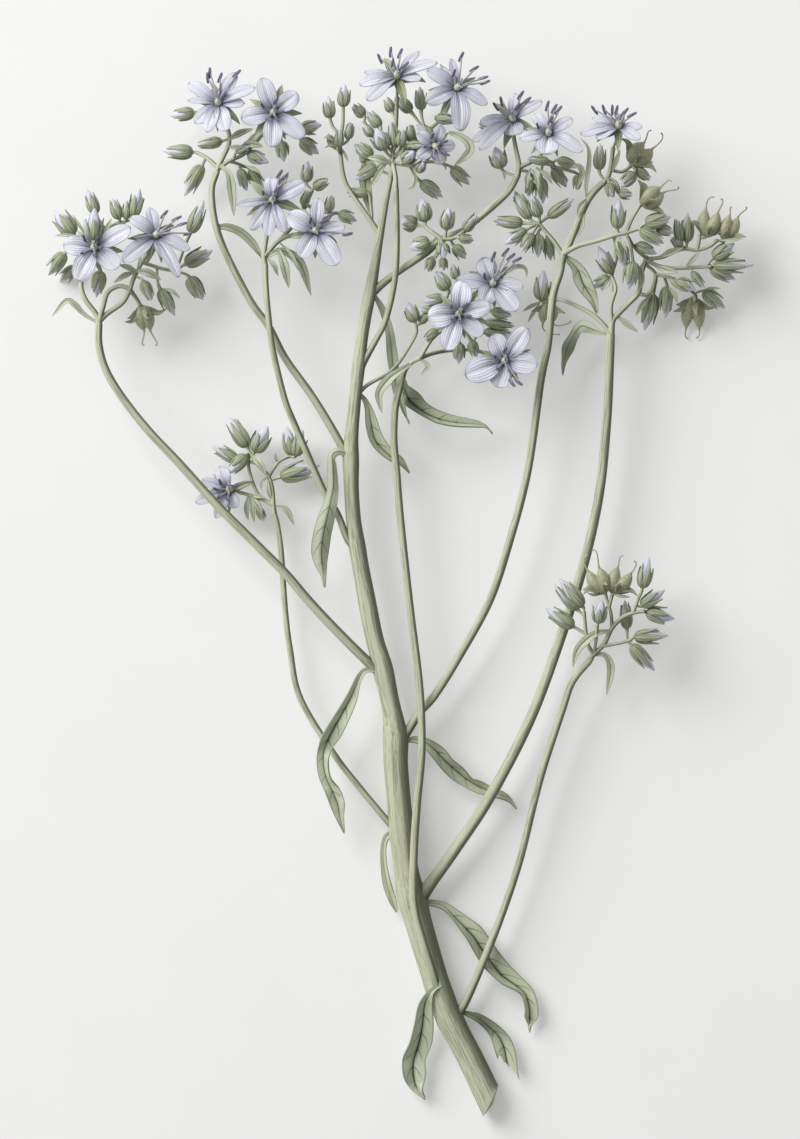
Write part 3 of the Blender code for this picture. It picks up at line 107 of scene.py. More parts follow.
# Leaves, foot to tip. Each row: left edge, midrib with its height, right edge, painted shade.
# Left and right are as seen going from foot to tip. The number before the rows is 1 where the
# halves rise from the midrib and -1 where they fall away from it.
LEAVES = {
    "leaf_low_left": (1, (
        (442, 987, 441.5, 985, 7.6, 440.5, 983, 0.3), (434, 994, 431.5, 993, 8.4, 429, 990.5, 0.1),
        (432.4, 1006, 424.6, 1003.7, 7, 419, 1004.5, 0), (433.6, 1026, 422.3, 1025, 5, 414.2, 1026, 0),
        (432.3, 1044, 418.4, 1044, 3.8, 409.5, 1044, 0), (425.8, 1061, 413.6, 1062, 3.4, 402.6, 1060, 0),
        (426, 1076, 413.2, 1077, 3, 403.6, 1077.5, 0), (422.6, 1091, 417.5, 1090, 3, 410.5, 1090, 0),
        (426, 1100, 425.6, 1100.8, 3, 425, 1101, 0))),
    "leaf_low_right": (1, (
        (462, 1011, 461.5, 1013, 4, 461.5, 1015, 0.6), (472, 1012.8, 471, 1015.8, 3.8, 470, 1018.3, 0.9),
        (481, 1015, 481, 1021.5, 3.6, 478.5, 1023.5, 1),
        (495.4, 1023.8, 491, 1030, 3.2, 485.5, 1030.5, 0.8), (508, 1036, 499.5, 1038, 3, 491, 1039, 0.4),
        (515, 1050, 504.5, 1049, 2.9, 494.5, 1049.6, 0.1),
        (517.8, 1071, 507.5, 1065, 2.8, 497.8, 1060, 0))),
    "leaf_hooked": (1, (
        (420, 899, 420, 902, 4.8, 421, 905, 0.4), (443.3, 902.2, 442, 906.5, 3.9, 440.5, 909, 0.1),
        (456.7, 909.9, 453.5, 917.5, 3.4, 451.5, 918.5, 0), (472, 920.4, 464.5, 928.5, 3.1, 459, 928.5, 0),
        (481.6, 928.1, 474.5, 939.5, 2.9, 467.5, 940.5, 0.2),
        (491.1, 941.5, 483, 952.5, 2.7, 475.5, 954.5, 0.3),
        (500.5, 954.5, 490.5, 962.5, 2.6, 484, 967.5, 0.2), (510.3, 966.3, 499, 974, 2.6, 494, 977.5, 0.1),
        (519.8, 975.9, 507.5, 981.2, 2.6, 504, 985.5, 0), (529.4, 985.5, 518, 988.5, 2.6, 516.5, 991.5, 0),
        (535.1, 995, 525.5, 996, 2.6, 522.5, 997.5, 0), (538.5, 1009.4, 529, 1009, 2.8, 525.4, 1009, 0.1),
        (538, 1019, 529.5, 1020, 2.8, 525.2, 1018.5, 0.1), (531.5, 1027, 529.8, 1027, 2.7, 528, 1025, 0),
        (530.4, 1033, 529.9, 1034, 2.6, 529.4, 1033, 0))),
    "leaf_thin_left": (1, (
        (396, 834, 395, 832, 5, 394, 830, 0.3), (388, 841, 386, 838.5, 4.6, 384, 835.5, 0.1),
        (386, 852, 383.5, 851, 4.2, 380.5, 850.5, 0), (387.5, 868, 384.5, 868, 3.8, 381, 869, 0),
        (391, 884, 387.5, 884.5, 3.5, 383, 886, 0), (395.5, 898, 391.5, 899.5, 3.2, 388.5, 901, 0),
        (398, 912, 397, 913, 3, 396, 913, 0))),
    "leaf_right": (1, (
        (404, 739, 404, 741, 7.6, 404, 743, 0.4), (415, 736.5, 415, 740, 7.3, 414, 743, 0.2),
        (425.3, 737.9, 425, 742.4, 7, 423, 747.5, 0), (439, 744.9, 434, 749, 6.4, 431.5, 756.5, 0.1),
        (446.4, 751.6, 441.5, 757, 6, 438.5, 765.5, 0.2),
        (452.2, 759.4, 447.5, 763, 5.6, 444.5, 772.5, 0.3), (463.8, 769, 457.5, 771.5, 5, 453, 780.6, 0.3),
        (472.1, 778.9, 467.5, 779.5, 4.6, 463, 786.6, 0.2), (481, 781.5, 479, 786.5, 4.2, 477, 793.5, 0.1),
        (494.5, 788.5, 493, 793, 3.8, 491.2, 797.2, 0), (503.6, 791.8, 503, 796.5, 3.5, 502, 799.7, 0),
        (511.1, 798, 510.6, 801, 3.3, 510, 803.2, 0), (517.2, 808.5, 516.9, 809.4, 3.2, 516.5, 809.6, 0))),
    "leaf_left": (1, (
        (380, 674, 380, 672, 10.4, 380, 670, 0.4), (368, 672.5, 367, 670, 11.4, 366, 667.6, 0.1),
        (361.5, 681, 359.5, 677.5, 11.8, 357.5, 674.5, 0), (357, 700, 351.5, 695, 12.2, 347, 695, 0),
        (349.5, 719, 341.5, 714, 12.4, 335, 714.5, 0), (341.3, 736.4, 330.5, 733, 12.4, 323.5, 733.5, 0),
        (332, 749.4, 325, 747, 12.2, 318.5, 747.5, 0.1), (328.5, 762, 323.6, 760, 12, 316.5, 761, 0.1),
        (330.7, 777.7, 326, 776, 11.6, 319, 778, 0), (340, 789.5, 332, 791, 11.2, 325, 792, 0),
        (344.6, 803, 338, 805, 10.8, 331, 808, 0), (344, 818, 340.5, 820, 10.4, 337, 821, 0),
        (345, 832, 344.4, 833.5, 10, 343.6, 832.6, 0))),
    "leaf_upper_left": (-1, (
        (351, 458.5, 351, 456, 14, 350, 453, 0.3), (341, 455, 340.5, 451.5, 15.2, 339, 447.8, 0),
        (335.5, 458, 332.5, 454.5, 16.2, 329.5, 452.5, 0.1), (336, 466, 333, 465, 16.5, 327.3, 464, 0.1),
        (338, 486, 333.5, 486, 16.6, 327.3, 487, 0.1), (337.5, 501, 331, 501, 16.5, 324, 501.5, 0.1),
        (334.5, 518.6, 327, 518, 16.3, 317.3, 518.6, 0.1), (331, 534, 323.5, 534, 16, 312.9, 534.5, 0.1),
        (328.5, 551, 321.5, 551, 15.7, 311.2, 552, 0.1), (326.7, 563, 322, 563, 15.4, 315, 565, 0.1),
        (326.4, 575, 323.7, 575, 15, 321, 576, 0.2), (325.5, 586.5, 324.6, 588, 14.6, 323.8, 586.5, 0.4))),
    "leaf_behind": (1, (
        (360, 392, 358, 392.5, 13, 357.5, 394, 0.4), (367, 398.7, 364.5, 400, 11.9, 362.5, 400, 0.1),
        (372.6, 408.9, 368.3, 407.5, 11.4, 365, 409, 0), (378, 422, 371, 424, 10.8, 366.1, 425.5, 0),
        (383, 436, 374.5, 440, 10.2, 370.2, 441, 0), (391, 447.7, 382, 449, 9.7, 378, 451.5, 0),
        (398.5, 454.2, 391.5, 457.5, 9.3, 390, 460.5, 0), (404, 459.7, 400.5, 462.5, 8.9, 399, 463.8, 0),
        (410, 472, 409.6, 473.2, 8.6, 409, 472.5, 0))),
    "leaf_dark": (1, (
        (404, 377, 403, 380, 14.2, 403, 384, 0.6), (408, 385, 405.5, 390, 14, 404.5, 396, 0.8),
        (412, 388, 408, 399, 13.8, 405.4, 404.2, 1), (419.8, 394, 414.5, 406, 13.3, 413, 410, 1),
        (427.2, 403.3, 424.4, 413, 12.7, 424, 416.5, 0.6),
        (438.3, 409.8, 437, 419, 12.1, 436.5, 422.7, 0.1), (453, 414.9, 452.1, 422.4, 11.4, 452.1, 426, 0),
        (468, 418, 467.5, 424, 10.6, 467, 426.9, 0), (479, 420.8, 479, 424.9, 10, 479, 427.2, 0),
        (486, 425.2, 486.2, 426.4, 9.5, 486.5, 428, 0),
        (493.3, 432.8, 492.9, 433.6, 9, 492.4, 433.6, 0.2))),
    "leaf_long_thin": (1, (
        (376.5, 295, 375, 296, 14, 374, 297, 0.3), (386, 309, 383, 311, 12.6, 380.5, 313.5, 0.1),
        (393, 328, 389.3, 330, 11.2, 385.5, 332, 0), (397, 350, 391.5, 351, 10, 387, 353, 0),
        (399, 370, 393.5, 370, 9.2, 389.5, 371, 0), (403, 390, 397.5, 390, 8.8, 393, 391, 0),
        (405.5, 406, 402, 405, 8.6, 399.2, 404, 0), (407, 416.5, 405.3, 415, 8.5, 403.8, 414, 0),
        (410, 423, 409.6, 424, 8.4, 409, 423.2, 0))),
    "leaf_far_right": (1, (
        (566, 255, 564, 256, 15.6, 563, 258, 0.4), (576, 260, 571, 262.5, 15.5, 568, 264, 0.3),
        (586, 270, 578.5, 271, 15.4, 572, 270.5, 0.2), (592.5, 282.6, 583, 283, 15.2, 573.5, 280.5, 0.2),
        (596, 291, 588.5, 292, 14.9, 580.5, 292.5, 0.1), (598, 299, 593.5, 301, 14.5, 589.6, 302.3, 0.1),
        (598.5, 311, 597, 313.5, 14, 595.6, 312, 0.1))),
    "leaf_bent": (-1, (
        (611, 335, 610, 333, 12.6, 609, 331, 0.3), (600, 334.6, 600, 332, 12.4, 600, 329.6, 0.1),
        (590, 332.5, 591, 328.5, 12.2, 593, 323.3, 0), (581.9, 332.5, 582, 326, 11.9, 582.6, 319.8, 0.1),
        (579.5, 336, 576.5, 331, 11.6, 575, 325, 0.5), (577, 341, 572.5, 338, 11.2, 569.3, 334.6, 0.8),
        (573.5, 350.7, 567.5, 348, 10.8, 562.6, 345, 0.9), (568.5, 358.5, 565, 357, 10.4, 562, 356, 0.8),
        (565, 367, 563.5, 366.5, 10.1, 561.5, 365, 0.6), (563.6, 374, 563, 375.5, 10, 562.4, 374, 0.5))),
    "leaf_small_left": (1, (
        (216, 225, 216, 227, 16, 216, 229, 0.3), (228.5, 223.5, 228, 227, 15, 227, 230.5, 0),
        (243, 229, 241.5, 232.5, 13, 239, 236, 0), (256, 241.5, 253.5, 244.5, 11.4, 251, 247, 0),
        (263, 257, 262, 258.5, 10, 261, 257, 0))),
}

# Stalks of the heads and sprays: radius at the foot and at the end, run
STALKS = {
    "head_far_left": (
        (3.0, 2.2, ((99, 324, 15), (96, 314, 15), (85, 299, 15), (81, 283, 14), (88, 262, 14.5))),
        (2.8, 2.2, ((99, 322, 15), (103, 307, 16), (108, 292, 16.5), (120, 286, 16.5), (130, 289, 16))),
        (2.8, 2.0, ((99, 321, 15), (108, 313, 15), (123, 302, 15), (130, 289, 16), (133, 280, 16),
            (142, 262, 15), (150, 250, 15.5))),
        (2.0, 1.8, ((142, 262, 15), (160, 268, 13), (176, 271, 12))),
        (2.0, 1.8, ((88, 262, 14.5), (96, 244, 13), (110, 226, 13), (124, 222, 13))),
        (2.2, 1.8, ((130, 290, 16), (136, 298, 14), (140, 305, 13)))),
    "head_upper_left": (
        (2.8, 2.0, ((216, 173, 15), (219, 165, 15), (224, 155, 15), (229, 143, 14), (228, 130, 14.5),
            (220, 116, 15.5))),
        (2.2, 1.8, ((218, 168, 15), (207, 158, 14), (196, 152, 13))),
        (2.2, 1.8, ((219, 168, 15), (229, 161, 15), (245, 153, 14), (262, 135, 17), (271, 120, 19.5))),
        (1.8, 1.6, ((262, 135, 17), (280, 134, 16), (298, 133, 16))),
        (1.8, 1.6, ((228, 130, 14.5), (212, 118, 13), (198, 113, 12.5))),
        (1.8, 1.6, ((229, 161, 15), (236, 163, 14), (243, 166, 12.5)))),
    "head_inner_left": (
        (2.8, 2.2, ((265, 266, 17), (264, 255, 17), (266, 240, 16), (270, 218, 15.5))),
        (2.4, 2.0, ((265, 256, 17), (280, 240, 16), (298, 234, 18), (310, 235, 20))),
        (2.0, 1.8, ((280, 240, 16), (296, 222, 14), (306, 205, 14), (312, 190, 14))),
        (1.8, 1.6, ((306, 205, 14), (325, 212, 13), (338, 213, 12)))),
    "head_top": (
        (2.4, 2.0, ((391, 176, 18), (392, 166, 18.4), (393, 150, 17), (396, 125, 16.5), (397, 98, 18.5))),
        (2.6, 2.2, ((396, 192, 20.2), (395.6, 178, 20.2), (393, 164, 18.6))),
        (2.2, 1.8, ((393, 158, 17.4), (415, 140, 16), (440, 120, 19), (452, 100, 22.5))),
        (2.0, 1.6, ((393, 163, 18), (412, 166, 18), (428, 162, 18), (442, 163, 18))),
        (1.8, 1.6, ((415, 140, 16), (428, 142, 17))),
        (1.8, 1.6, ((393, 152, 17.2), (375, 137, 15), (364, 122, 13))),
        (1.4, 1.3, ((372, 221, 15.6), (371.5, 213, 14.8), (370.5, 204, 14.4), (370, 197, 14.5)))),
    "spray_top_left": (
        (2.7, 1.6, ((380, 234, 16), (366, 214, 15.6), (350, 191, 15), (343.5, 176, 15), (340, 148, 15),
            (341, 136, 15), (343, 122, 15.5), (343, 108, 16))),
        (1.6, 1.5, ((341, 136, 15), (333, 127, 14), (330, 119, 14)))),
    "head_upper_right": (
        (2.8, 2.0, ((517, 177, 18), (519, 166, 18), (516, 150, 17), (513, 134, 16.5))),
        (2.4, 1.8, ((518, 168, 18), (535, 160, 17.5), (545, 150, 21))),
        (1.8, 1.6, ((535, 160, 17.5), (556, 167, 16), (574, 172, 15))),
        (1.8, 1.6, ((518, 170, 18), (528, 172, 17), (534, 179, 15)))),
    "spray_upper_right": (
        (3.0, 2.6, ((442, 241, 15.4), (441, 239, 19.4))),
        (2.2, 1.8, ((441, 239, 19), (433, 233, 19), (425, 227, 18))),
        (2.2, 1.8, ((441, 239, 19), (452, 239, 19), (462, 233, 19))),
        (2.2, 1.8, ((441, 239, 19), (439, 250, 18.4), (435, 257, 17.6)))),
    "spray_inner_right": ((2.4, 1.8, ((564, 257, 16), (555, 243, 16), (546, 232, 16), (539, 224, 16))),),
    "head_right_top": (
        (2.8, 2.0, ((602, 185, 18), (608, 177, 18), (611, 165, 18), (613, 148, 18.5))),
        (1.8, 1.6, ((610, 170, 18), (622, 172, 17), (632, 165, 16))),
        (1.8, 1.6, ((608, 178, 18), (616, 183, 18.4), (619, 191, 18.6)))),
    "spray_right": (
        (2.6, 2.0, ((563, 254, 16.4), (578, 246, 17.6), (597, 241, 18.6), (613, 236, 19.6),
            (626, 233, 19.6), (640, 228, 19.6))),
        (1.8, 1.5, ((626, 233, 19.6), (632, 219, 19.6), (641, 204, 19))),
        (1.6, 1.4, ((613, 236, 19.6), (617, 255, 16), (612, 275, 13))),
        (1.6, 1.4, ((626, 233, 19.6), (631, 248, 18.6), (633, 263, 17.6))),
        (1.8, 1.6, ((628, 238, 19), (634, 247, 16), (641, 254, 14.4), (648, 259, 13.4)))),
    "head_far_right": (
        (3.2, 2.2, ((611, 334, 13), (613, 320, 13), (619, 313, 13), (629, 303, 13), (639, 292, 13),
            (641, 276, 13), (646, 259, 13))),
        (2.2, 1.6, ((612, 324, 13), (611, 307, 14), (614, 296, 15), (616, 288, 15), (612, 276, 13.4))),
        (2.2, 1.8, ((646, 259, 13), (662, 257, 13), (682, 249, 13), (697, 250, 13), (710, 246, 13),
            (717, 240, 13))),
        (2.2, 1.8, ((646, 260, 13), (660, 266, 12), (677, 268, 12), (698, 267, 12), (711, 266, 12))),
        (1.8, 1.6, ((697, 250, 13), (699, 242, 13), (700, 234, 13))),
        (1.8, 1.6, ((644, 263, 13), (656, 274, 11), (654, 291, 8.4))),
        (1.8, 1.6, ((656, 274, 11), (672, 278, 12), (682, 284, 11), (696, 295, 8), (694, 303, 5))),
        (2.0, 1.8, ((638, 293, 13), (646, 295, 12.4), (652, 290, 12), (655, 281, 11.6), (656, 274, 11)))),
    "twig_link": (
        (2.6, 1.8, ((612, 336, 12.6), (604, 325, 12.6), (592, 314, 12), (573, 304, 10.4), (559, 299, 9),
            (549, 301, 8.4))),
        (1.8, 1.8, ((559, 299, 9), (548, 300, 8.4), (542, 302, 8.2)))),
    "twig_centre": (
        (2.0, 1.6, ((358, 394, 13.4), (366, 386, 12.4), (374, 381, 11.8), (385, 375, 11.4),
            (396, 366, 11.2), (406, 352, 12.4), (416, 334, 15), (416, 326, 15.4))),),
    "head_centre": (
        (3.0, 2.2, ((401, 384, 14), (405, 370, 14.4), (412, 362, 15.6), (420, 358, 16.6))),
        (2.2, 1.8, ((420, 358, 16.6), (431, 340, 17), (443, 329, 17), (454, 319, 19.6))),
        (2.2, 1.8, ((420, 358, 16.6), (434, 353, 13.6), (452, 350, 10.8), (474, 350, 10.8),
            (489, 355, 13.6), (496, 359, 18))),
        (2.0, 1.8, ((443, 329, 17), (453, 308, 12.4), (470, 296, 10.4), (486, 287, 10.6))),
        (1.8, 1.6, ((445, 326, 17), (441, 312, 16), (447, 296, 15.4)))),
    "head_low_right": (
        (2.8, 1.8, ((588, 662, 13.8), (594, 654, 14.2), (604, 644, 15), (612, 628, 16), (622, 618, 16),
            (633, 613, 16), (644, 611, 16))),
        (2.0, 1.8, ((594, 655, 14.2), (588, 645, 15), (586, 633, 15), (584, 612, 16))),
        (1.8, 1.6, ((612, 627, 16), (611, 614, 16), (608, 604, 16.4), (605, 593, 16.6))),
        (1.6, 1.6, ((609, 607, 16.3), (612, 595, 16.6))),
        (1.8, 1.6, ((603, 646, 15), (620, 643, 15), (631, 640, 15))),
        (1.6, 1.6, ((594, 653, 14.2), (596, 640, 17), (597, 626, 18))),
        (1.6, 1.5, ((586, 634, 15), (576, 628, 15))),
        (1.6, 1.5, ((633, 613, 16), (638, 600, 16.6), (642, 590, 17)))),
    "head_low_left": (
        (2.6, 1.8, ((274, 514, 7), (273, 504, 7), (272, 489, 7), (268, 476, 7), (256, 462, 7),
            (250, 453, 7))),
        (2.2, 1.8, ((273, 505, 7), (262, 499, 6.6), (250, 495, 6), (238, 492, 6))),
        (1.8, 1.6, ((268, 477, 7), (278, 462, 7), (289, 456, 7))),
        (1.6, 1.6, ((256, 463, 7), (246, 461, 6.4))),
        (1.8, 1.6, ((261, 499, 6.6), (256, 491, 6.4), (251, 478, 6.6), (248, 464, 7), (249, 454, 7)))),
}

# Buds: foot, tip, width
BUDS = {
    "head_far_left": (
        (74, 235, 13, 54, 210, 12, 18), (96, 214, 14, 87, 189, 13, 12), (119, 219, 14, 112, 198, 14, 11),
        (133, 217, 14, 140, 188, 14, 13), (190, 233, 14, 204, 200, 14, 14),
        (185, 264, 13, 213, 250, 13, 16), (189, 277, 11, 203, 300, 9, 15),
        (160, 289, 14, 175, 316, 12, 13), (143, 281, 17, 152, 301, 17, 11), (64, 253, 9, 48, 275, 5, 14),
        (75, 267, 6, 58, 281, -0.4, 12), (100, 271, 12, 96, 297, 9, 14), (126, 219, 14, 127, 200, 14, 9),
        (94, 240, 21.5, 95, 208, 23, 16)),
    "head_upper_left": (
        (194, 112, 12.5, 170, 116, 11, 13), (193, 152, 13, 163, 151, 12, 15),
        (222, 141, 14, 197, 146, 14, 11), (202, 165, 12, 184, 196, 9, 14), (237, 152, 16, 250, 146, 18, 8),
        (248, 154, 15, 269, 163, 16, 13), (240, 169, 13, 247, 191, 11, 10),
        (250, 169, 11, 264, 193, 8, 12), (281, 141, 15, 284, 162, 14, 13),
        (301, 129, 17, 322, 125, 17, 14), (301, 140, 15, 319, 154, 13, 14)),
    "head_inner_left": (
        (306, 182, 14, 308, 161, 14, 12), (314, 188, 14.5, 328, 180, 16, 11),
        (303, 205, 15, 309, 190, 17, 9), (328, 211, 13.5, 332, 195, 14, 10),
        (339, 213, 12, 357, 221, 11, 12)),
    "head_top": (
        (392, 112, 14, 386, 97, 13, 10), (411, 112, 14, 396, 95, 14, 12), (421, 110, 15, 420, 86, 14, 11),
        (385, 150, 19, 376, 128, 21, 17), (400, 146, 20, 403, 130, 21, 11),
        (372, 136, 16, 364, 125, 17, 9), (364, 116, 12.5, 353, 104, 11, 11),
        (372, 157, 16, 354, 144, 14, 14), (377, 166, 16, 356, 180, 13, 13),
        (380, 127, 14, 367, 111, 12, 11), (368, 193, 14.6, 346, 192, 12, 10),
        (452, 168, 17, 470, 185, 14, 13), (421, 182, 15, 443, 197, 12, 13),
        (436, 118, 20, 455, 121, 21, 11), (405, 161, 20, 414, 152, 24, 15),
        (407, 146, 20, 427, 147, 22, 10), (366, 161, 15, 360, 156, 15, 8),
        (418, 171, 20, 424, 163, 23, 10), (395, 147, 19, 392, 121, 20, 11),
        (434, 139, 19, 416, 125, 21, 13), (411, 142, 17, 410, 124, 17, 10)),
    "spray_top_left": (
        (330, 118, 14, 328, 96, 13, 12), (343, 107, 16, 345, 84, 16, 12), (348, 139, 16, 351, 122, 17, 9),
        (334, 147, 14.6, 328, 134, 14, 8), (338, 147, 17.4, 340, 130, 18.2, 9)),
    "head_upper_right": (
        (492, 128, 15, 479, 124, 14, 10), (501, 168, 18, 495, 147, 20, 17),
        (553, 169, 15, 567, 187, 12, 12), (531, 181, 15, 528, 196, 13, 9),
        (541, 178, 15, 543, 204, 12, 12), (558, 160, 17, 577, 166, 16, 10),
        (578, 175, 14, 577, 190, 12, 9), (549, 162, 20, 527, 160, 21, 9)),
    "spray_upper_right": (
        (425, 222, 17, 422, 198, 17, 16), (417, 225, 15.5, 400, 221, 14.5, 16),
        (446, 230, 20, 449, 207, 21, 14), (430, 242, 19, 409, 249, 18, 16),
        (442, 244, 21, 444, 259, 23, 13), (454, 246, 18, 466, 259, 17, 11),
        (459, 238, 20, 474, 241, 20, 9), (464, 231, 20, 477, 215, 21, 11),
        (432, 258, 17, 428, 272, 16, 10), (443, 258, 17, 444, 271, 16, 8)),
    "spray_inner_right": (
        (530, 219, 16, 514, 190, 15, 13), (539, 217, 17, 531, 195, 18, 12),
        (548, 217, 16, 574, 199, 15.5, 11), (523, 223, 15, 493, 221, 14, 12),
        (526, 230, 18, 504, 245, 19, 12), (532, 234, 19, 521, 252, 21, 11),
        (538, 234, 17, 538, 258, 18, 12), (547, 238, 15, 551, 261, 13, 11)),
    "head_right_top": (
        (599, 170, 17, 600, 143, 15, 12), (609, 184, 20, 612, 198, 21, 11),
        (634, 173, 18, 621, 188, 19, 13), (636, 169, 16, 650, 180, 15, 10),
        (619, 193, 19, 632, 196, 20, 10)),
    "spray_right": (
        (617, 229, 20, 619, 199, 20, 14), (645, 224, 20, 671, 217, 20, 15),
        (640, 230, 20, 664, 244, 20, 13), (611, 273, 14, 598, 246, 16, 14),
        (610, 277, 12.6, 593, 288, 11.4, 12), (633, 262, 17.6, 629, 289, 16.4, 16),
        (656, 228, 18, 674, 233, 18, 11), (636, 245, 16, 657, 254, 15, 12),
        (620, 244, 18.4, 625, 268, 17, 14)),
    "head_far_right": (
        (680, 241, 14, 676, 218, 15, 9), (687, 242, 12.4, 688, 212, 11.6, 13),
        (713, 258, 13, 735, 243, 13, 14), (714, 265, 12, 754, 265, 12, 14),
        (711, 268, 11, 736, 279, 9, 13), (654, 294, 8, 645, 330, 4.4, 16), (667, 286, 9, 666, 318, 7, 13),
        (677, 281, 13, 696, 290, 14, 13), (692, 272, 13, 705, 288, 13, 8), (704, 291, 8, 726, 308, 5, 14),
        (682, 246, 14, 671, 238, 14, 10)),
    "twig_link": ((541, 300, 8.4, 544, 270, 9.6, 16),),
    "twig_centre": ((415, 322, 15.4, 408, 302, 15, 13), (420, 323, 15, 430, 311, 13, 8)),
    "head_centre": (
        (492, 311, 14, 512, 316, 13, 10), (485, 322, 13, 515, 326, 11, 9),
        (448, 290, 16, 436, 271, 15, 14), (456, 279, 16.6, 453, 264, 17, 9),
        (443, 298, 15, 423, 302, 14, 12), (437, 330, 17, 424, 340, 18, 9),
        (459, 343, 14, 459, 364, 12, 12), (471, 341, 14, 477, 357, 13, 10),
        (484, 332, 11, 514, 333, 10, 10), (432, 309, 15, 421, 311, 14, 8)),
    "head_low_right": (
        (642, 588, 17, 649, 557, 17, 14), (641, 606, 16, 665, 590, 16, 13),
        (646, 612, 15, 675, 619, 14, 15), (634, 637, 15, 668.7, 635.5, 14, 14),
        (631, 645, 15, 655, 671, 13, 14), (583, 607, 16, 559, 578, 16, 15),
        (574, 627, 15, 545, 608, 14.4, 14), (598, 623, 18, 602, 600, 20, 14),
        (627, 629, 12.4, 625, 600, 12.8, 12), (578, 610, 14, 554, 584, 13, 12)),
    "head_low_left": (
        (247, 447, 7, 229, 417, 6, 15), (254, 452, 8, 268, 426, 8, 18), (238, 461, 6, 211, 445, 5, 12),
        (291, 455, 7, 287, 426, 7, 14), (295, 456, 8, 303, 429, 9, 13), (280, 477, 7, 320, 465, 7, 18),
        (246, 455, 8, 228, 474, 8, 13), (258, 508, 6, 264, 521, 6, 8)),
}

# Paired fruits: foot, ends of the two lobes, ends of their styles, width
FRUITS = {
    "head_far_left": (
        (141, 306, 12.5, ((144, 330, 11), (150, 330, 11)), ((144, 345, 10), (155, 345, 10)), 14),),
    "head_right_top": (
        (631, 163, 16, ((644, 143, 16.5), (652, 149, 16)), ((651, 131, 17), (661, 133, 16)), 17),),
    "spray_right": (
        (642, 205, 19, ((660, 188, 20), (663, 193, 19.4)), ((671, 182, 21), (678, 187, 20)), 16),),
    "head_far_right": (
        (706, 236, 13, ((706, 209, 13), (718, 212, 14)), ((714, 197, 14), (721, 199, 15)), 14),
        (725, 240, 13, ((730, 215, 13), (738, 217, 12)), ((732, 207, 13), (746, 207, 12)), 13),
        (694, 297, 5, ((687, 327, 2), (700, 328, 2)), ((689, 338, 1), (697, 337, 1)), 14)),
    "twig_link": ((549, 302, 8, ((543, 323, 8), (553, 322, 8)), ((560, 334, 8), (570, 321, 9)), 12),),
    "head_low_right": (
        (604, 593, 16.6, ((588, 571, 17), (599, 568, 18)), ((588, 555, 18), (592, 550, 18)), 14),
        (613, 593, 16.6, ((618, 567, 16.4), (631, 573, 17)), ((623, 556, 17), (634, 561, 18)), 14)),
}

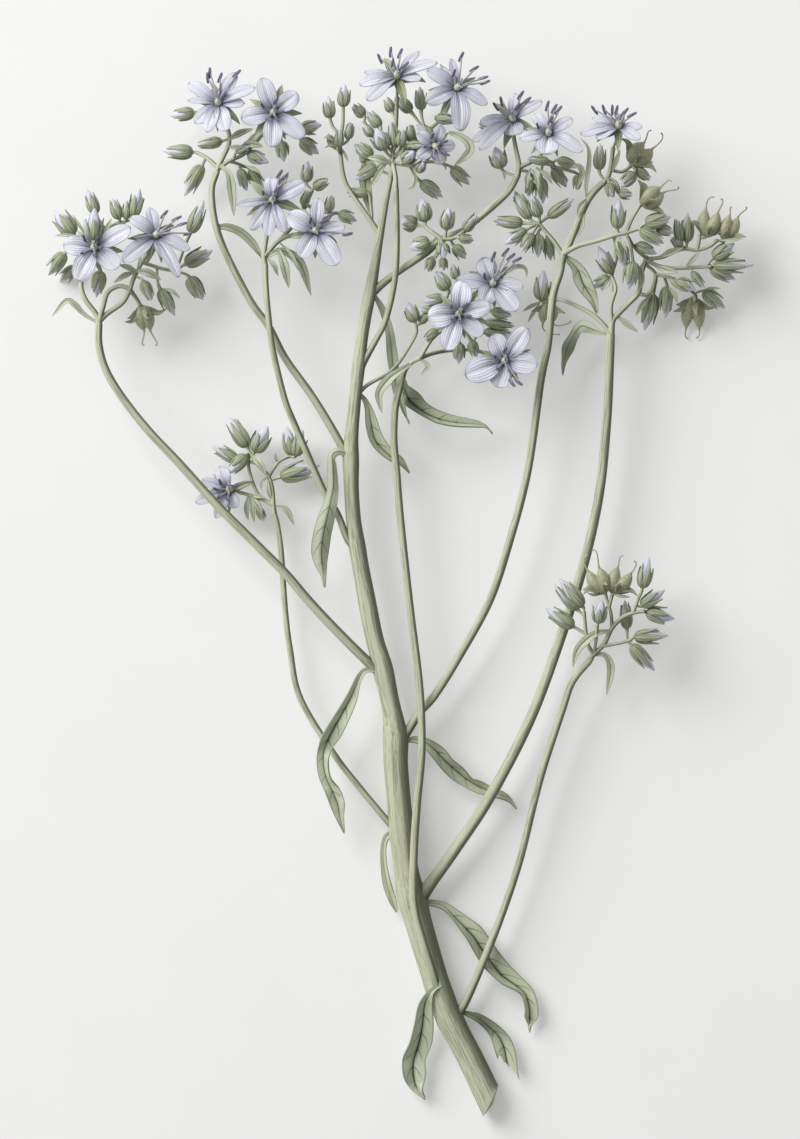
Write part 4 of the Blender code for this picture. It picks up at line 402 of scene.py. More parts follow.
# Bracts: width, run
BRACTS = {
    "head_far_left": (
        (6, ((98, 323, 15), (84, 314, 15), (74, 304, 16), (66, 301, 16), (52, 316, 14))),
        (5, ((102, 238, 21), (107, 229, 22), (112, 219, 22))),
        (4, ((78, 236, 17), (66, 235, 17), (55, 236, 16))),
        (3, ((86, 236, 14), (80, 226, 15), (73, 215, 15))),
        (8, ((137, 271, 16.5), (149, 273, 18), (161, 280, 17))),
        (6, ((136, 272, 16.5), (124, 276, 18), (114, 283, 17))),
        (6, ((136, 271, 16.5), (127, 267, 18.5), (119, 265, 18))),
        (4, ((138, 270, 16.5), (140, 262, 18), (140, 255, 18))),
        (4, ((163, 289, 14), (172, 291, 15.5), (180, 298, 14.5)))),
    "head_upper_left": (
        (7, ((228, 140, 14.6), (240, 133, 16), (253, 129, 16.5))),
        (9, ((240, 149, 15), (251, 144, 17), (263, 147, 17))),
        (4, ((246, 166, 13.5), (254, 169, 15), (261, 174, 15))),
        (6, ((229, 147, 14.6), (240, 148, 17), (249, 151, 17.5))),
        (6, ((246, 149, 15), (253, 138, 17.6), (262, 131, 18.6))),
        (9, ((220, 165, 15.4), (229, 174, 17), (232, 192, 16.5), (234, 216, 15)))),
    "head_inner_left": (
        (10, ((266, 257, 17), (282, 251, 17), (300, 263, 14), (311, 295, 10))),
        (9, ((278, 248, 17), (284, 264, 18.4), (289, 288, 16))),
        (4, ((280, 243, 17), (291, 254, 18), (297, 266, 17.6), (303, 276, 16))),
        (5, ((267, 258, 17), (274, 265, 17.6), (278, 276, 16)))),
    "head_top": (
        (9, ((449, 133, 19), (459, 136, 20.5), (468, 143, 21), (470, 151, 21), (463, 159, 20),
            (454, 166, 18))),
        (8, ((391, 164, 19), (379, 159, 20.5), (367, 158, 20))),
        (6, ((386, 164, 18.6), (379, 173, 18.5), (371, 187, 17))),
        (3, ((412, 168, 18), (416, 179, 17.5), (413, 187, 16.5), (408, 189, 16))),
        (12, ((375, 158, 16), (366, 164, 15), (365, 178, 13), (368, 200, 12), (373, 218, 11.6))),
        (3, ((441, 163, 18), (445, 160, 19), (446, 155, 19))),
        (3, ((441, 163, 18), (445, 166, 18), (446, 170, 18))),
        (4, ((396, 158, 18), (402, 149, 19.5), (404, 139, 20))),
        (4, ((428, 162, 18), (424, 154, 19.5), (425, 148, 20)))),
    "spray_top_left": (
        (3, ((339, 144, 15), (331, 139, 16), (324, 137, 15.4))),
        (3, ((339, 147, 15), (331, 145, 16), (325, 148, 15.4))),
        (3, ((341, 148, 15), (345, 154, 16), (348, 161, 15.4)))),
    "head_upper_right": (
        (5, ((531, 169, 18), (527, 178, 19), (527, 189, 18))),
        (5, ((533, 170, 18), (537, 180, 19), (538, 191, 18))),
        (3, ((502, 168, 17.4), (504, 174, 17.4), (505, 180, 16.8))),
        (5, ((536, 168, 18), (546, 175, 19), (552, 184, 18))),
        (6, ((566, 168, 16), (578, 166, 18), (582, 174, 18), (577, 189, 16)))),
    "head_right_top": (
        (6, ((588, 199, 18), (581, 206, 19.5), (577, 216, 18.5))),
        (4, ((584, 214, 18), (582, 226, 18), (577, 238, 17))),
        (5, ((587, 200, 18), (586, 185, 19), (589, 162, 20), (588, 148, 20), (581, 139, 19))),
        (5, ((612, 172, 18.4), (616, 161, 19.6), (620, 150, 19.6)))),
    "spray_right": (
        (4, ((616, 238, 19.4), (616, 247, 20.5), (621, 255, 20))),
        (4, ((620, 238, 19.4), (624, 246, 20.5), (627, 253, 20))),
        (5, ((612, 277, 13), (607, 284, 14.5), (602, 291, 14))),
        (4, ((613, 277, 13), (614, 285, 14), (613, 292, 13.5)))),
    "head_far_right": (
        (6, ((616, 315, 13), (629, 325, 13), (638, 332, 12.4))),
        (6, ((645, 261, 13.6), (641, 270, 15), (642, 280, 15), (639, 292, 14))),
        (7, ((660, 257, 13.6), (671, 252, 15), (683, 248, 15.4))),
        (8, ((656, 266, 12.6), (667, 270, 14.4), (678, 272, 15))),
        (5, ((687, 266, 12.6), (694, 258, 14), (700, 252, 14.4))),
        (4, ((668, 277, 12.4), (673, 282, 13.4), (678, 289, 13))),
        (5, ((651, 295, 9), (643, 304, 10.4), (636, 315, 9.6))),
        (5, ((669, 287, 9.4), (674, 293, 10.6), (678, 303, 10))),
        (4, ((720, 240, 13.6), (731, 240, 15), (743, 238, 15))),
        (3, ((703, 290, 8.6), (711, 288, 9), (721, 288, 8.6)))),
    "twig_link": (
        (4, ((540, 302, 8.6), (531, 306, 9), (523, 311, 8.6))),
        (4, ((540, 303, 8.6), (534, 312, 9), (528, 322, 8.6)))),
    "head_centre": (
        (10, ((411, 364, 15.6), (400, 371, 16.6), (389, 379, 16.6), (379, 394, 16), (382, 413, 15))),
        (5, ((419, 359, 16.6), (428, 366, 17), (421, 375, 16))),
        (5, ((499, 279, 12.6), (509, 270, 13.4), (519, 266, 14), (526, 269, 13.4), (527, 277, 12.4)))),
    "head_low_right": (
        (9, ((609, 631, 16.5), (597, 633, 17.6), (585, 641, 17.6), (577, 651, 16.5), (573, 667, 15))),
        (8, ((594, 655, 14), (605, 655, 14), (611, 668, 13), (607, 695, 11))),
        (3, ((602, 594, 17), (593, 595, 18), (586, 592, 18))),
        (3.5, ((613, 593, 17), (622, 591, 18), (631, 591, 17.6))),
        (3.5, ((613, 594, 17), (621, 596, 18), (630, 597, 17.4)))),
    "head_low_left": (
        (6, ((274, 506, 7), (286, 510, 7.6), (294, 525, 6.6))),
        (8, ((252, 456, 7.6), (259, 463, 9.4), (266, 474, 9))),
        (5, ((248, 496, 6.4), (246, 508, 7), (248, 520, 6))),
        (5, ((250, 497, 6.4), (252, 510, 7), (254, 522, 6))),
        (8, ((251, 497, 6.4), (257, 505, 7.6), (262, 514, 7))),
        (5, ((252, 496, 6.6), (258, 496, 8), (264, 498, 8))),
        (3, ((277, 463, 7), (276, 458, 7.6), (275, 453, 7.6))),
        (4, ((272, 501, 7), (268.5, 491, 8), (268, 480, 8))),
        (3, ((268, 477, 7.4), (262, 482, 8.6), (261, 490, 8)))),
}

# Open flowers: centre, direction it faces, tips and widths of the petals, tips of the
# stamens that stand out
BLOOMS = {
    "head_far_left": (
        ((95, 248, 20), (-0.1, 0.1, 1.0), ((64, 245, 20), (131, 228, 18), (119, 268, 20), (78, 281, 20),
            (91, 215, 16)), ()),
        ((155, 237, 21), (0.3, 0.4, 0.85), ((131, 218, 15), (123, 262, 17), (166, 259, 14), (179, 278, 15),
            (190, 250, 13), (150, 208, 12)), ((166, 213), (179, 218), (184, 224), (191, 233),
            (133, 239)))),
    "head_upper_left": (
        ((218.5, 104.4, 19.5), (-0.05, 0.4, 0.9), ((188.7, 83.3, 14), (236, 73, 13), (255.4, 88, 12),
            (244, 104, 12), (226, 132, 17), (207, 133, 13), (195, 124, 13), (188, 101, 7)), ((207.7, 76),
            (221, 76), (238.6, 72.5), (210, 71))),
        ((273.8, 113, 25), (0.0, 0.05, 1.0), ((262, 79, 17), (241.3, 119.6, 18), (272.7, 147.8, 19),
            (304, 138, 18), (297.7, 94.7, 18)), ())),
    "head_inner_left": (
        ((272.8, 200, 21), (-0.05, 0.0, 1.0), ((271, 178, 15), (305, 183, 16), (285, 233, 12),
            (268, 237, 12), (251, 230, 12), (237, 205, 8)), ((281, 173), (286, 177))),
        ((315.6, 231.6, 26), (0.05, 0.1, 1.0), ((289, 215, 20), (300, 258, 18), (337, 266, 21),
            (345, 227.5, 14), (318.7, 199, 14)), ((350, 234.7), (333, 215)))),
    "head_top": (
        ((397, 78, 23), (0.0, 0.55, 0.8), ((360, 86, 13), (364, 73, 8), (367, 102, 13), (419, 52, 8),
            (437, 63, 13), (421, 80, 12)), ((379, 57.5), (390.7, 50.4), (401, 52))),
        ((456, 90, 28.5), (0.3, 0.35, 0.9), ((427, 72, 15), (441, 69, 10), (426, 104, 16), (460, 132, 21),
            (487, 105.7, 13), (451, 60, 9)), ((462, 56), (476, 69), (485, 78.6), (487, 83))),
        ((434.6, 145.8, 22), (0.2, -0.2, 1.0), ((455, 146, 12), (441, 126, 12), (418, 134, 12),
            (418, 158, 12), (441, 165, 12)), ())),
    "head_upper_right": (
        ((513, 120, 20), (-0.15, 0.25, 0.95), ((515, 94, 11), (542, 102, 10), (480, 122, 11),
            (479, 150, 13), (472, 142, 10), (514, 136, 20)), ((494.6, 105.5), (500.8, 100), (521.8, 94),
            (528.5, 99.7))),
        ((548, 135, 28), (0.05, 0.35, 0.93), ((519, 140, 11), (545, 155, 23), (582, 153, 15),
            (534, 115, 12), (572, 120, 12)), ((547.5, 105), (555, 108), (559.5, 109.5)))),
    "head_right_top": (
        ((618.4, 128, 23), (0.0, 0.55, 0.8), ((580, 135, 11), (596, 140, 11), (639, 141, 13),
            (641.5, 128, 9), (592, 118.5, 8)), ((592.8, 109), (603, 108.4), (612, 108.4), (616.7, 109),
            (626, 111), (633.5, 114.7))),),
    "head_centre": (
        ((458.7, 313.8, 25), (0.0, 0.0, 1.0), ((463, 282, 20), (490, 307, 17), (482, 336, 16),
            (446, 351, 19), (428, 318, 23)), ()),
        ((504.5, 361, 23), (0.0, 0.0, 1.0), ((493.4, 334.6, 20), (526.7, 328.6, 19), (537, 365.6, 22),
            (498, 388, 21), (464.7, 375.8, 24)), ((520, 384), (513, 385))),
        ((492.5, 284.2, 15.5), (0.1, 0.3, 0.93), ((456, 280.5, 16), (482.5, 258, 20), (484, 302, 20),
            (516, 311.5, 20), (523, 287, 13)), ((494.3, 254.6), (507, 250.5), (512.8, 255.5),
            (519, 259)))),
    "head_low_left": (
        ((229.8, 489.6, 8.4), (-0.15, 0.1, 1.0), ((219, 466.4, 14), (202, 480, 11), (195.4, 502, 12),
            (215.7, 518, 11), (235, 508, 13)), ()),),
}

# Cut end of the main stem: slant along the stem for each step to the side, reach and hollow,
# and from its rim to its middle the rings of the pith and how dark they are
CUT_SIDE = (1.0, 0.4, 0.0)
CUT_SLANT = -0.8
CUT_REACH = 26 * PIXEL
CUT_HOLLOW = 4 * PIXEL
CUT_RINGS = (0.93, 0.86, 0.5, 0.2)
CUT_SHADES = (0.9, 0.6, 0.0, 0.1, 0.3)

# Torn end of the broken leaf: where it starts along the leaf, and how far it reaches past the
# last row from its left edge to its right, as shares of the width there
TORN_LEAF = "leaf_low_right"
TORN_FROM = 0.75
TORN_EDGE = (0.45, 0.1, 0.2, -0.05, 0.1, -0.05, -0.05, -0.3, -0.2, 0.0)

# Fineness of the soft curves, and the fewest rows on one
KNOT_STEP = 0.1
STEM_STEP = 1.4 * MM
STALK_STEP = 1.2 * MM
LEAF_STEP = 0.8 * MM
FEWEST_ROWS = 4

# Directions: upward, those that the sides of lines, buds, flowers and anthers keep nearest to,
# and a spare one for what runs along its own
UPWARD = (0.0, 0.0, 1.0)
LINE_SIDE = (0.1, 0.1, 1.0)
BUD_SIDE = (0.2, 0.1, 1.0)
BLOOM_SIDE = (1.0, 0.0, 0.0)
ANTHER_SIDE = (0.9, 0.3, 0.2)
SPARE_SIDE = (0.0, 0.7, 0.7)

# Smallest lengths that still give a direction, least square of a round form's half width, how
# near to its ends a pointed form is read, and the angle from which an edge stays sharp
NEARLY_ALONG = 1e-3
SHORTEST = 1e-12
BLUNT_END = 0.02
POINTED_END = 0.001
SHARP_ANGLE = math.radians(60)

# Range of the number that sets the marks of one petal or sepal apart from those of the next
GRAIN_SHIFTS = (0, 20)

# Stems: points round them, ribs, and as shares of the radius the depth of the ribs and the bulge
# of the ends
STEM_SIDES = 45
STEM_RIBS = 11
BRANCH_SIDES = 28
BRANCH_RIBS = 7
STALK_SIDES = 12
STALK_RIBS = 5
RIB_DEPTH = 0.025
END_BULGE = 0.3

# Swelling and painted shade where a branch leaves the stem, and swelling of a stalk's two ends
NODE_SWELL = 0.09
NODE_RUN = 4 * MM
FOOT_SWELL = 0.3
FOOT_RUN = 1.6
FOOT_SHADE = 0.6
FOOT_SHADE_RUN = 6 * MM
BRANCH_END = 0.75
STALK_SWELL = 0.2
STALK_SWELL_RUN = 1.2 * MM

# Painted shade on one side of the stems: its direction, and how dark a surface is by how far it faces that
# way
PAINTED_SHADE_SIDE = np.array((0.97, -0.15, -0.2))
SIDE_SHADES = ((0.0, 0.0), (0.28, 0.6), (0.6, 1.0))

# Thin curved parts: points along and round, radius, how far their two ends bend them as shares of
# their length, and their outline in pairs of a share of the length and a share of the radius
PEDICEL_RADIUS = 0.42 * MM
STYLE_RADIUS = 0.2 * MM
WIRES = {
    "pedicel": (9, 10, PEDICEL_RADIUS, (0.3, 0.35), ((0, 1.25), (0.15, 0.9), (0.8, 1), (1, 1.5))),
    "thread": (9, 8, 0.26 * MM, (0.45, 0.3), ((0, 1.6), (0.1, 2.2), (0.3, 1.1), (1, 0.8))),
    "style": (8, 8, STYLE_RADIUS, (0.4, 0.3), ((0, 1.8), (0.4, 1), (0.85, 0.9), (1, 1.7))),
    "fruit_style": (10, 8, STYLE_RADIUS, (0.5, 0.35), ((0, 2), (0.12, 1.1), (0.85, 0.9), (1, 1.5))),
}

# Choice of the place on the stalks that a pedicel comes from: how much a step behind what it
# carries counts for, and what a place costs that is too near
BEHIND_WEIGHT = 0.6
TOO_NEAR = 2 * PEDICEL_RADIUS
TOO_NEAR_COST = 10 * MM

# Columns of a leaf's rows that give its midrib, left edge and right edge, and its painted shade
LEAF_LINES = ([2, 3, 4], [0, 1, 4], [5, 6, 4])
LEAF_SHADE = 7

# Leaves, bracts and sepals: points across, full width by the widest one seen, roundness of the
# halves, ripple and crease as shares of the half width, and the crease's reach across
STRAP_COLUMNS = 17
FULL_WIDTH = 1.04
HALF_ROUNDNESS = 0.8
RIPPLE = 0.1
RIPPLE_RUN = 3.4 * MM
RIPPLE_STARTS = (0, 6)
RIB_CREASE = 0.16
RIB_CREASE_REACH = 0.14
LEAF_THICKNESS = 0.4 * MM
BRACT_THICKNESS = 0.7 * LEAF_THICKNESS
SEPAL_THICKNESS = 0.2 * MM
# Painted shade at the foot of a bract or sepal, and how soon it fades along it
BASE_SHADE = 0.4
BASE_SHADE_RUN = 3 * MM

# Outlines of bracts, sepals and the cup below a flower: share of the length, share of the width
BRACT_OUTLINE = ((0.0, 0.35), (0.2, 0.62), (0.45, 1.0), (0.7, 0.8), (0.9, 0.38), (1.0, 0.06))
SEPAL_OUTLINE = ((0.0, 0.7), (0.25, 1.0), (0.55, 0.8), (0.85, 0.32), (1.0, 0.05))
CUP_OUTLINE = ((0.0, 0.42), (0.25, 0.75), (0.6, 1.0), (0.9, 0.95), (1.0, 0.6))

# Petals: points along and across, widest place as a share of the length, width of the foot,
# shape of the outline and the arch, fading of the painted shade in the throat, and the ranges of
# their fullness, arch, cupping and twist
PETAL_ROWS = 19
PETAL_COLUMNS = 15
PETAL_CROWDING = 1.5
PETAL_WIDEST = 0.55
PETAL_CLAW = 0.24
PETAL_OPENING = 0.9
PETAL_CLOSING = 2.5
PETAL_BLUNTNESS = 0.55
PETAL_TIP = 0.002
PETAL_ARCH_FORWARD = 0.8
PETAL_FLATTENING = 1.4
PETAL_THROAT_SHADE = 2.4
PETAL_FULLNESS = (1.0, 1.1)
PETAL_ARCH = (0.09, 0.16)
PETAL_CUPPING = (0.15, 0.45)
PETAL_TWIST = (-0.1, 0.25)
PETAL_THICKNESS = 0.22 * MM

# Relief of the petals: crease, ridges on each side and waves, in shares of the petal's width
PETAL_CREASE = 0.1
PETAL_CREASE_REACH = 0.16
PETAL_RIDGES = (0.4, 0.75)
PETAL_RIDGE = 0.02
PETAL_RIDGE_REACH = 0.12
PETAL_WAVE = 0.07
PETAL_WAVES = 9

# Places in a flower, whose parts come in fives: foot of the petals from its middle, their rise,
# and how far the petals and the stamens may reach above or below the middle
FLOWER_PARTS = 5
PETAL_FOOT = 0.9 * MM
PETAL_SEAT = 0.15 * MM
PETAL_RISE = 0.22
PETAL_HEIGHTS = (-6 * MM, 7 * MM)
STAMEN_HEIGHTS = (-3 * MM, 7 * MM)

# Green cup with its sepals, under a flower and round a fruit; the sepals' reach, their opening
# from the cup's axis, where they stand on it, their width, bends and the way they turn
CUP_RADIUS = 1.5 * MM
CUP_DEPTH = 2.4 * MM
CUP_GAP = 0.2 * MM
CUP_SIDES = 15
CUP_RIB_DEPTH = 0.06
CALYX_REACH = 0.72
CALYX_OPENING = math.radians(88)
SEPAL_ROOT = 0.4
SEPAL_START = 0.75
SEPAL_INSET = 0.7
SEPAL_WIDTH = 0.38
SEPAL_REACHES = (0.9, 1.08)
SEPAL_BENDS = ((0.35, 0.0), (0.7, 0.06))
SEPAL_TIP_BENDS = (0.1, 0.35)
SEPAL_TURN = np.array((0.0, 0.0, 2.0))

# Painted shade at the foot of an ovary or a fruit, then the ovary and styles; the ovary starts
# part of the way along a round form
FOOT_PAINTED_SHADE = 0.5
FURROW_DEPTH = 0.05
OVARY_ROWS = 11
OVARY_SIDES = 16
OVARY_START = -0.7
OVARY_FURROWS = 2
OVARY_RADIUS = 1.05 * MM
OVARY_HEIGHT = 2.8 * MM
STYLE_FOOT = 0.9 * OVARY_HEIGHT
STYLE_LENGTH = 2.4 * MM
STYLE_SPREAD = 0.6
STYLE_LEAN = 0.15

# Stamens: their feet, how far they reach, and their anthers
STAMEN_FOOT = 1.2 * MM
STAMEN_SEAT = 0.3 * MM
STAMEN_LEAN = 3.0 * MM
STAMEN_LEANS = (0.8, 1.3)
STAMEN_HEIGHT = 5.0 * MM
STAMEN_RISE = 0.7 * STAMEN_HEIGHT
STAMEN_LENGTHS = (0.6, 0.9)
STAMEN_STRAIGHTENING = 0.2
ANTHER_LENGTH = 3.3 * MM
ANTHER_RADIUS = 0.36 * MM
ANTHER_ENDS = (-0.7, 0.3)
ANTHER_ROWS = 9
ANTHER_SIDES = 8
ANTHER_LEAN = 0.3
LOBE_SHIFT = 0.5
LOBE_WIDTH = 0.85

# Buds: points, how far forward and how full they are, spiral of the rolled petals, their furrows
# and size within the bud, and the painted shade towards their foot
BUD_ROWS = 15
BUD_SIDES = 20
BUD_SHAPE = (0.65, 0.75)
BUD_END = 0.99
BUD_SPIRAL = 0.9
BUD_FURROW = 0.12
BUD_CORE = 0.88
BUD_PAINTED_SHADE = 0.35
SMALL_BUD = 11.5 * PIXEL

# Sepals of a bud: points, reach along a big and a small one, spread and outline, place, keel,
# flare and the painted shade towards their foot
BUD_SEPAL_ROWS = 14
BUD_SEPAL_COLUMNS = 9
BIG_BUD_REACH = (0.68, 0.84)
SMALL_BUD_REACH = (0.8, 0.94)
BUD_SEPAL_REACHES = (0.88, 1.1)
BUD_SEPAL_SPREAD = math.radians(40)
BUD_SEPAL_TIP = math.radians(1.2)
BUD_SEPAL_FULLNESS = 1.6
BUD_SEPAL_POINT = 0.9
BUD_SEPAL_SHIFTS = (-0.1, 0.1)
BUD_SEPAL_PLACE = 0.92
BUD_SEPAL_GAP = 0.08 * MM
BUD_SEPAL_KEEL = 0.12
BUD_SEPAL_LAP = 0.05
BUD_SEPAL_FLARES = (0.04, 0.26)
BUD_SEPAL_FLARE_LATE = 3.5
BUD_SEPAL_PAINTED_SHADE = 0.25

# Fruits: points, how far forward and how full the lobes are and the stretch of that form they
# take, then their bulge and the size of the cup in shares of the fruit's width
FRUIT_ROWS = 15
FRUIT_SIDES = 18
FRUIT_SHAPE = (0.85, 0.7)
FRUIT_SPAN = (0.05, 0.98)
FRUIT_BULGE = 0.14
FRUIT_CUP_DEPTH = 0.3
FRUIT_CUP_RADIUS = 0.36
FRUIT_SEPAL_REACH = 1.45
FRUIT_OPENING = math.radians(56)
FRUIT_TURNS = (-0.3, 0.3)

# Colours of stems, leaves, sepals and petals; the dark ones are also mixed in as painted shade
STEM_LIGHT = (0.55, 0.58, 0.42, 1.0)
STEM_DARK = (0.09, 0.11, 0.06, 1.0)
STEM_WARM = (0.46, 0.43, 0.30, 1.0)
LEAF_LIGHT = (0.62, 0.66, 0.49, 1.0)
LEAF_MID = (0.50, 0.55, 0.39, 1.0)
LEAF_DARK = (0.07, 0.09, 0.05, 1.0)
SEPAL_LIGHT = (0.43, 0.47, 0.31, 1.0)
SEPAL_DARK = (0.06, 0.075, 0.04, 1.0)
PETAL_LIGHT = (0.78, 0.79, 0.87, 1.0)
PETAL_DARK = (0.13, 0.13, 0.25, 1.0)

# Finishes of the small parts: light and dark colour, the dark one also mixed in as painted shade,
# specks to the metre, roughness
SMALL_FINISHES = {
    "thread": ((0.42, 0.41, 0.46, 1.0), (0.18, 0.17, 0.24, 1.0), 900.0, 0.5),
    "fruit": ((0.46, 0.46, 0.30, 1.0), (0.13, 0.13, 0.08, 1.0), 3200.0, 0.45),
    "ovary": ((0.56, 0.60, 0.42, 1.0), (0.30, 0.33, 0.20, 1.0), 900.0, 0.45),
    "anther": ((0.17, 0.15, 0.23, 1.0), (0.03, 0.03, 0.06, 1.0), 2500.0, 0.6),
    "pith": ((0.66, 0.64, 0.50, 1.0), (0.20, 0.19, 0.11, 1.0), 1200.0, 0.85),
}

# Veins of the leaves
VEIN_SPACING = 5.2 * MM
VEIN_SLANT = 0.6
VEIN_BEND = 0.32 / MM
VEIN_WOBBLE = 1.8 * MM
VEINED_WIDTHS = (1.4 * MM, 2.6 * MM)
NOT_ZERO = 0.001

# Streaks of the stems: stretch of the fine and the coarse ones, share of the fine ones, and how
# many more of them show where the stems have painted shade
FINE_STRETCH = (1.0, 1.0, 0.03)
COARSE_STRETCH = (1.0, 1.0, 0.02)
FINE_SHARE = 0.6
PAINTED_SHADE_STREAKS = 0.16

# Lines of sepals and petals: stretch of the noise that shifts them and of the streaks that break
# them, how much each does so, and how strong a faded line stays
SHIFT_STRETCH = (1.0, 3.0, 1.0)
STREAK_STRETCH = (14.0, 1.6, 1.0)
LINE_SHIFT = 0.2
LINE_BREAKS = 1.4
FAINTEST_LINE = 0.1

# Relief of the finishes, and shares in it of a leaf's net and of a petal's waves and streaks
NET_SHARE = 0.3
WAVE_SHARE = 0.4
STREAK_SHARE = 0.5
STEM_RELIEF = 0.2 * MM
LEAF_RELIEF = 0.15 * MM
LINED_RELIEF = 0.12 * MM
SPECK_RELIEF = 0.1 * MM
RELIEF_STRENGTH = 0.6

# Sockets of a node that mixes colours: its two colours and its result
MIX_FIRST = 6
MIX_SECOND = 7
MIX_RESULT = 2

# Light that passes through a petal, and its silky sheen
PETAL_SHEEN = 0.15
PETAL_GLOW = 0.12
PETAL_GLOW_REACH = (1.2 * MM, 1.2 * MM, 1.6 * MM)

# Floor and light
FLOOR_SIZE = 6.0
FLOOR_LIGHT = (0.74, 0.74, 0.73, 1.0)
FLOOR_DARK = (0.71, 0.71, 0.70, 1.0)
FLOOR_GLOW = 0.22
WHITE = (1.0, 1.0, 1.0, 1.0)
KEY_SIZE = 1.6
KEY_POWER = 51.0
KEY_PLACE = (-1.35, 1.15, 1.3)
SKY_STRENGTH = 0.34

# Camera: lens and sensor in millimetres, the sheet's centre and height in its own pixels, and
# the height in millimetres of the level that it frames
LENS = 600.0
SENSOR = 36.0
SHEET_CENTRE = (400.0, 569.5)
SHEET_HEIGHT = 1139.0
CAMERA_PLANE = 15.0


def sheet(rows):
    """Sheet rows (across, down, height, widths if any) in metres."""
    rows = np.array(rows, float)
    placed = rows * PIXEL
    placed[:, 0] -= SHEET_MIDDLE[0] * PIXEL
    placed[:, 1] = SHEET_MIDDLE[1] * PIXEL - placed[:, 1]
    placed[:, 2] = rows[:, 2] * MM
    return placed


def spot(point):
    """One sheet position in metres."""
    return sheet([point])[0]


def unit(vector):
    """The vector's direction."""
    return np.array(vector, float) / np.linalg.norm(vector)


def across(direction, wanted):
    """The part of the wanted direction that is square to another one."""
    square = np.array(wanted, float) - direction * np.dot(wanted, direction)
    if np.linalg.norm(square) < NEARLY_ALONG:
        return across(direction, SPARE_SIDE)
    return unit(square)


def square_pair(direction, wanted):
    """Two directions square to another one, the first as near as it gets to the wanted one."""
    side = across(direction, wanted)
    return side, np.cross(direction, side)


def spoke(turn, axes):
    """The direction at a turn from the first of two axes towards the second."""
    return math.cos(turn) * axes[0] + math.sin(turn) * axes[1]


def lengths(line):
    """Distance along a line at each of its points."""
    return np.append(0, np.cumsum(np.linalg.norm(np.diff(line[:, :3], axis=0), axis=1)))


def headings(line):
    """Direction of a line at each of its points."""
    along = np.gradient(line, axis=0)
    return along / np.linalg.norm(along, axis=1)[:, None]


def follow(outline, shares):
    """Values at some shares of a length, from an outline in pairs of share and value."""
    return np.interp(shares, *np.array(outline, float).T)


def bell(distance, reach):
    """1 in the middle, falling softly to nothing past the reach."""
    return np.exp(-((distance / reach) ** 2))


def rounded(start, count):
    """Half widths of a round form from a place on it, -1 to 1, to its end at 1."""
    return np.sqrt(np.maximum(1 - np.linspace(start, 1, count) ** 2, BLUNT_END))


def plump(share, forward, fullness):
    """Half width of a pointed form at a share of its length."""
    return np.sin(math.pi * np.clip(share, POINTED_END, 1 - POINTED_END) ** forward) ** fullness


def smooth(knots, spacing):
    """Evenly spaced rows on the soft curve through the knots."""
    knots = np.array(knots, float)
    ends = np.vstack([2 * knots[0] - knots[1], knots, 2 * knots[-1] - knots[-2]])
    fine = []
    for i in range(len(knots) - 1):
        before, start, end, after = ends[i : i + 4]
        for t in np.arange(0, 1, KNOT_STEP):
            fine.append(
                start
                + 0.5 * t * (end - before)
                + t**2 * (before - 2.5 * start + 2 * end - 0.5 * after)
                + 0.5 * t**3 * (3 * start - before - 3 * end + after)
            )
    fine = np.array(fine + [knots[-1]])
    run = lengths(fine)
    stops = np.linspace(0, run[-1], max(FEWEST_ROWS, round(run[-1] / spacing) + 1))
    return np.column_stack([np.interp(stops, run, column) for column in fine.T])


def tapered(rows, foot, end):
    """Sheet rows in metres with a radius that runs evenly from foot to end."""
    rows = sheet(rows)
    return np.column_stack([rows, np.linspace(foot, end, len(rows)) * PIXEL])


def arc(start, pull, push, end, count):
    """Soft curve from start to end, leaving towards one point and arriving from another."""
    t = np.linspace(0, 1, count)[:, None]
    return (1 - t) ** 3 * start + 3 * t * (1 - t) ** 2 * pull + 3 * t**2 * (1 - t) * push + t**3 * end


def lattice(rows, columns, closed=False):
    """Quads of a grid of points; a closed one joins its last column to its first."""
    corner = np.arange(rows * columns).reshape(rows, columns)
    if closed:
        corner = np.column_stack([corner, corner[:, 0]])
    quads = (corner[:-1, :-1], corner[:-1, 1:], corner[1:, 1:], corner[1:, :-1])
    return np.stack(quads, -1).reshape(-1, 4)


def patch(*numbers):
    """Three numbers for each point of a grid, each given for its rows, its columns or all of it."""
    return np.stack(np.broadcast_arrays(*numbers), -1)


def show(name, data):
    """An object of the scene that shows a mesh, a lamp or a camera."""
    item = bpy.data.objects.new(name, data)
    bpy.context.scene.collection.objects.link(item)
    return item


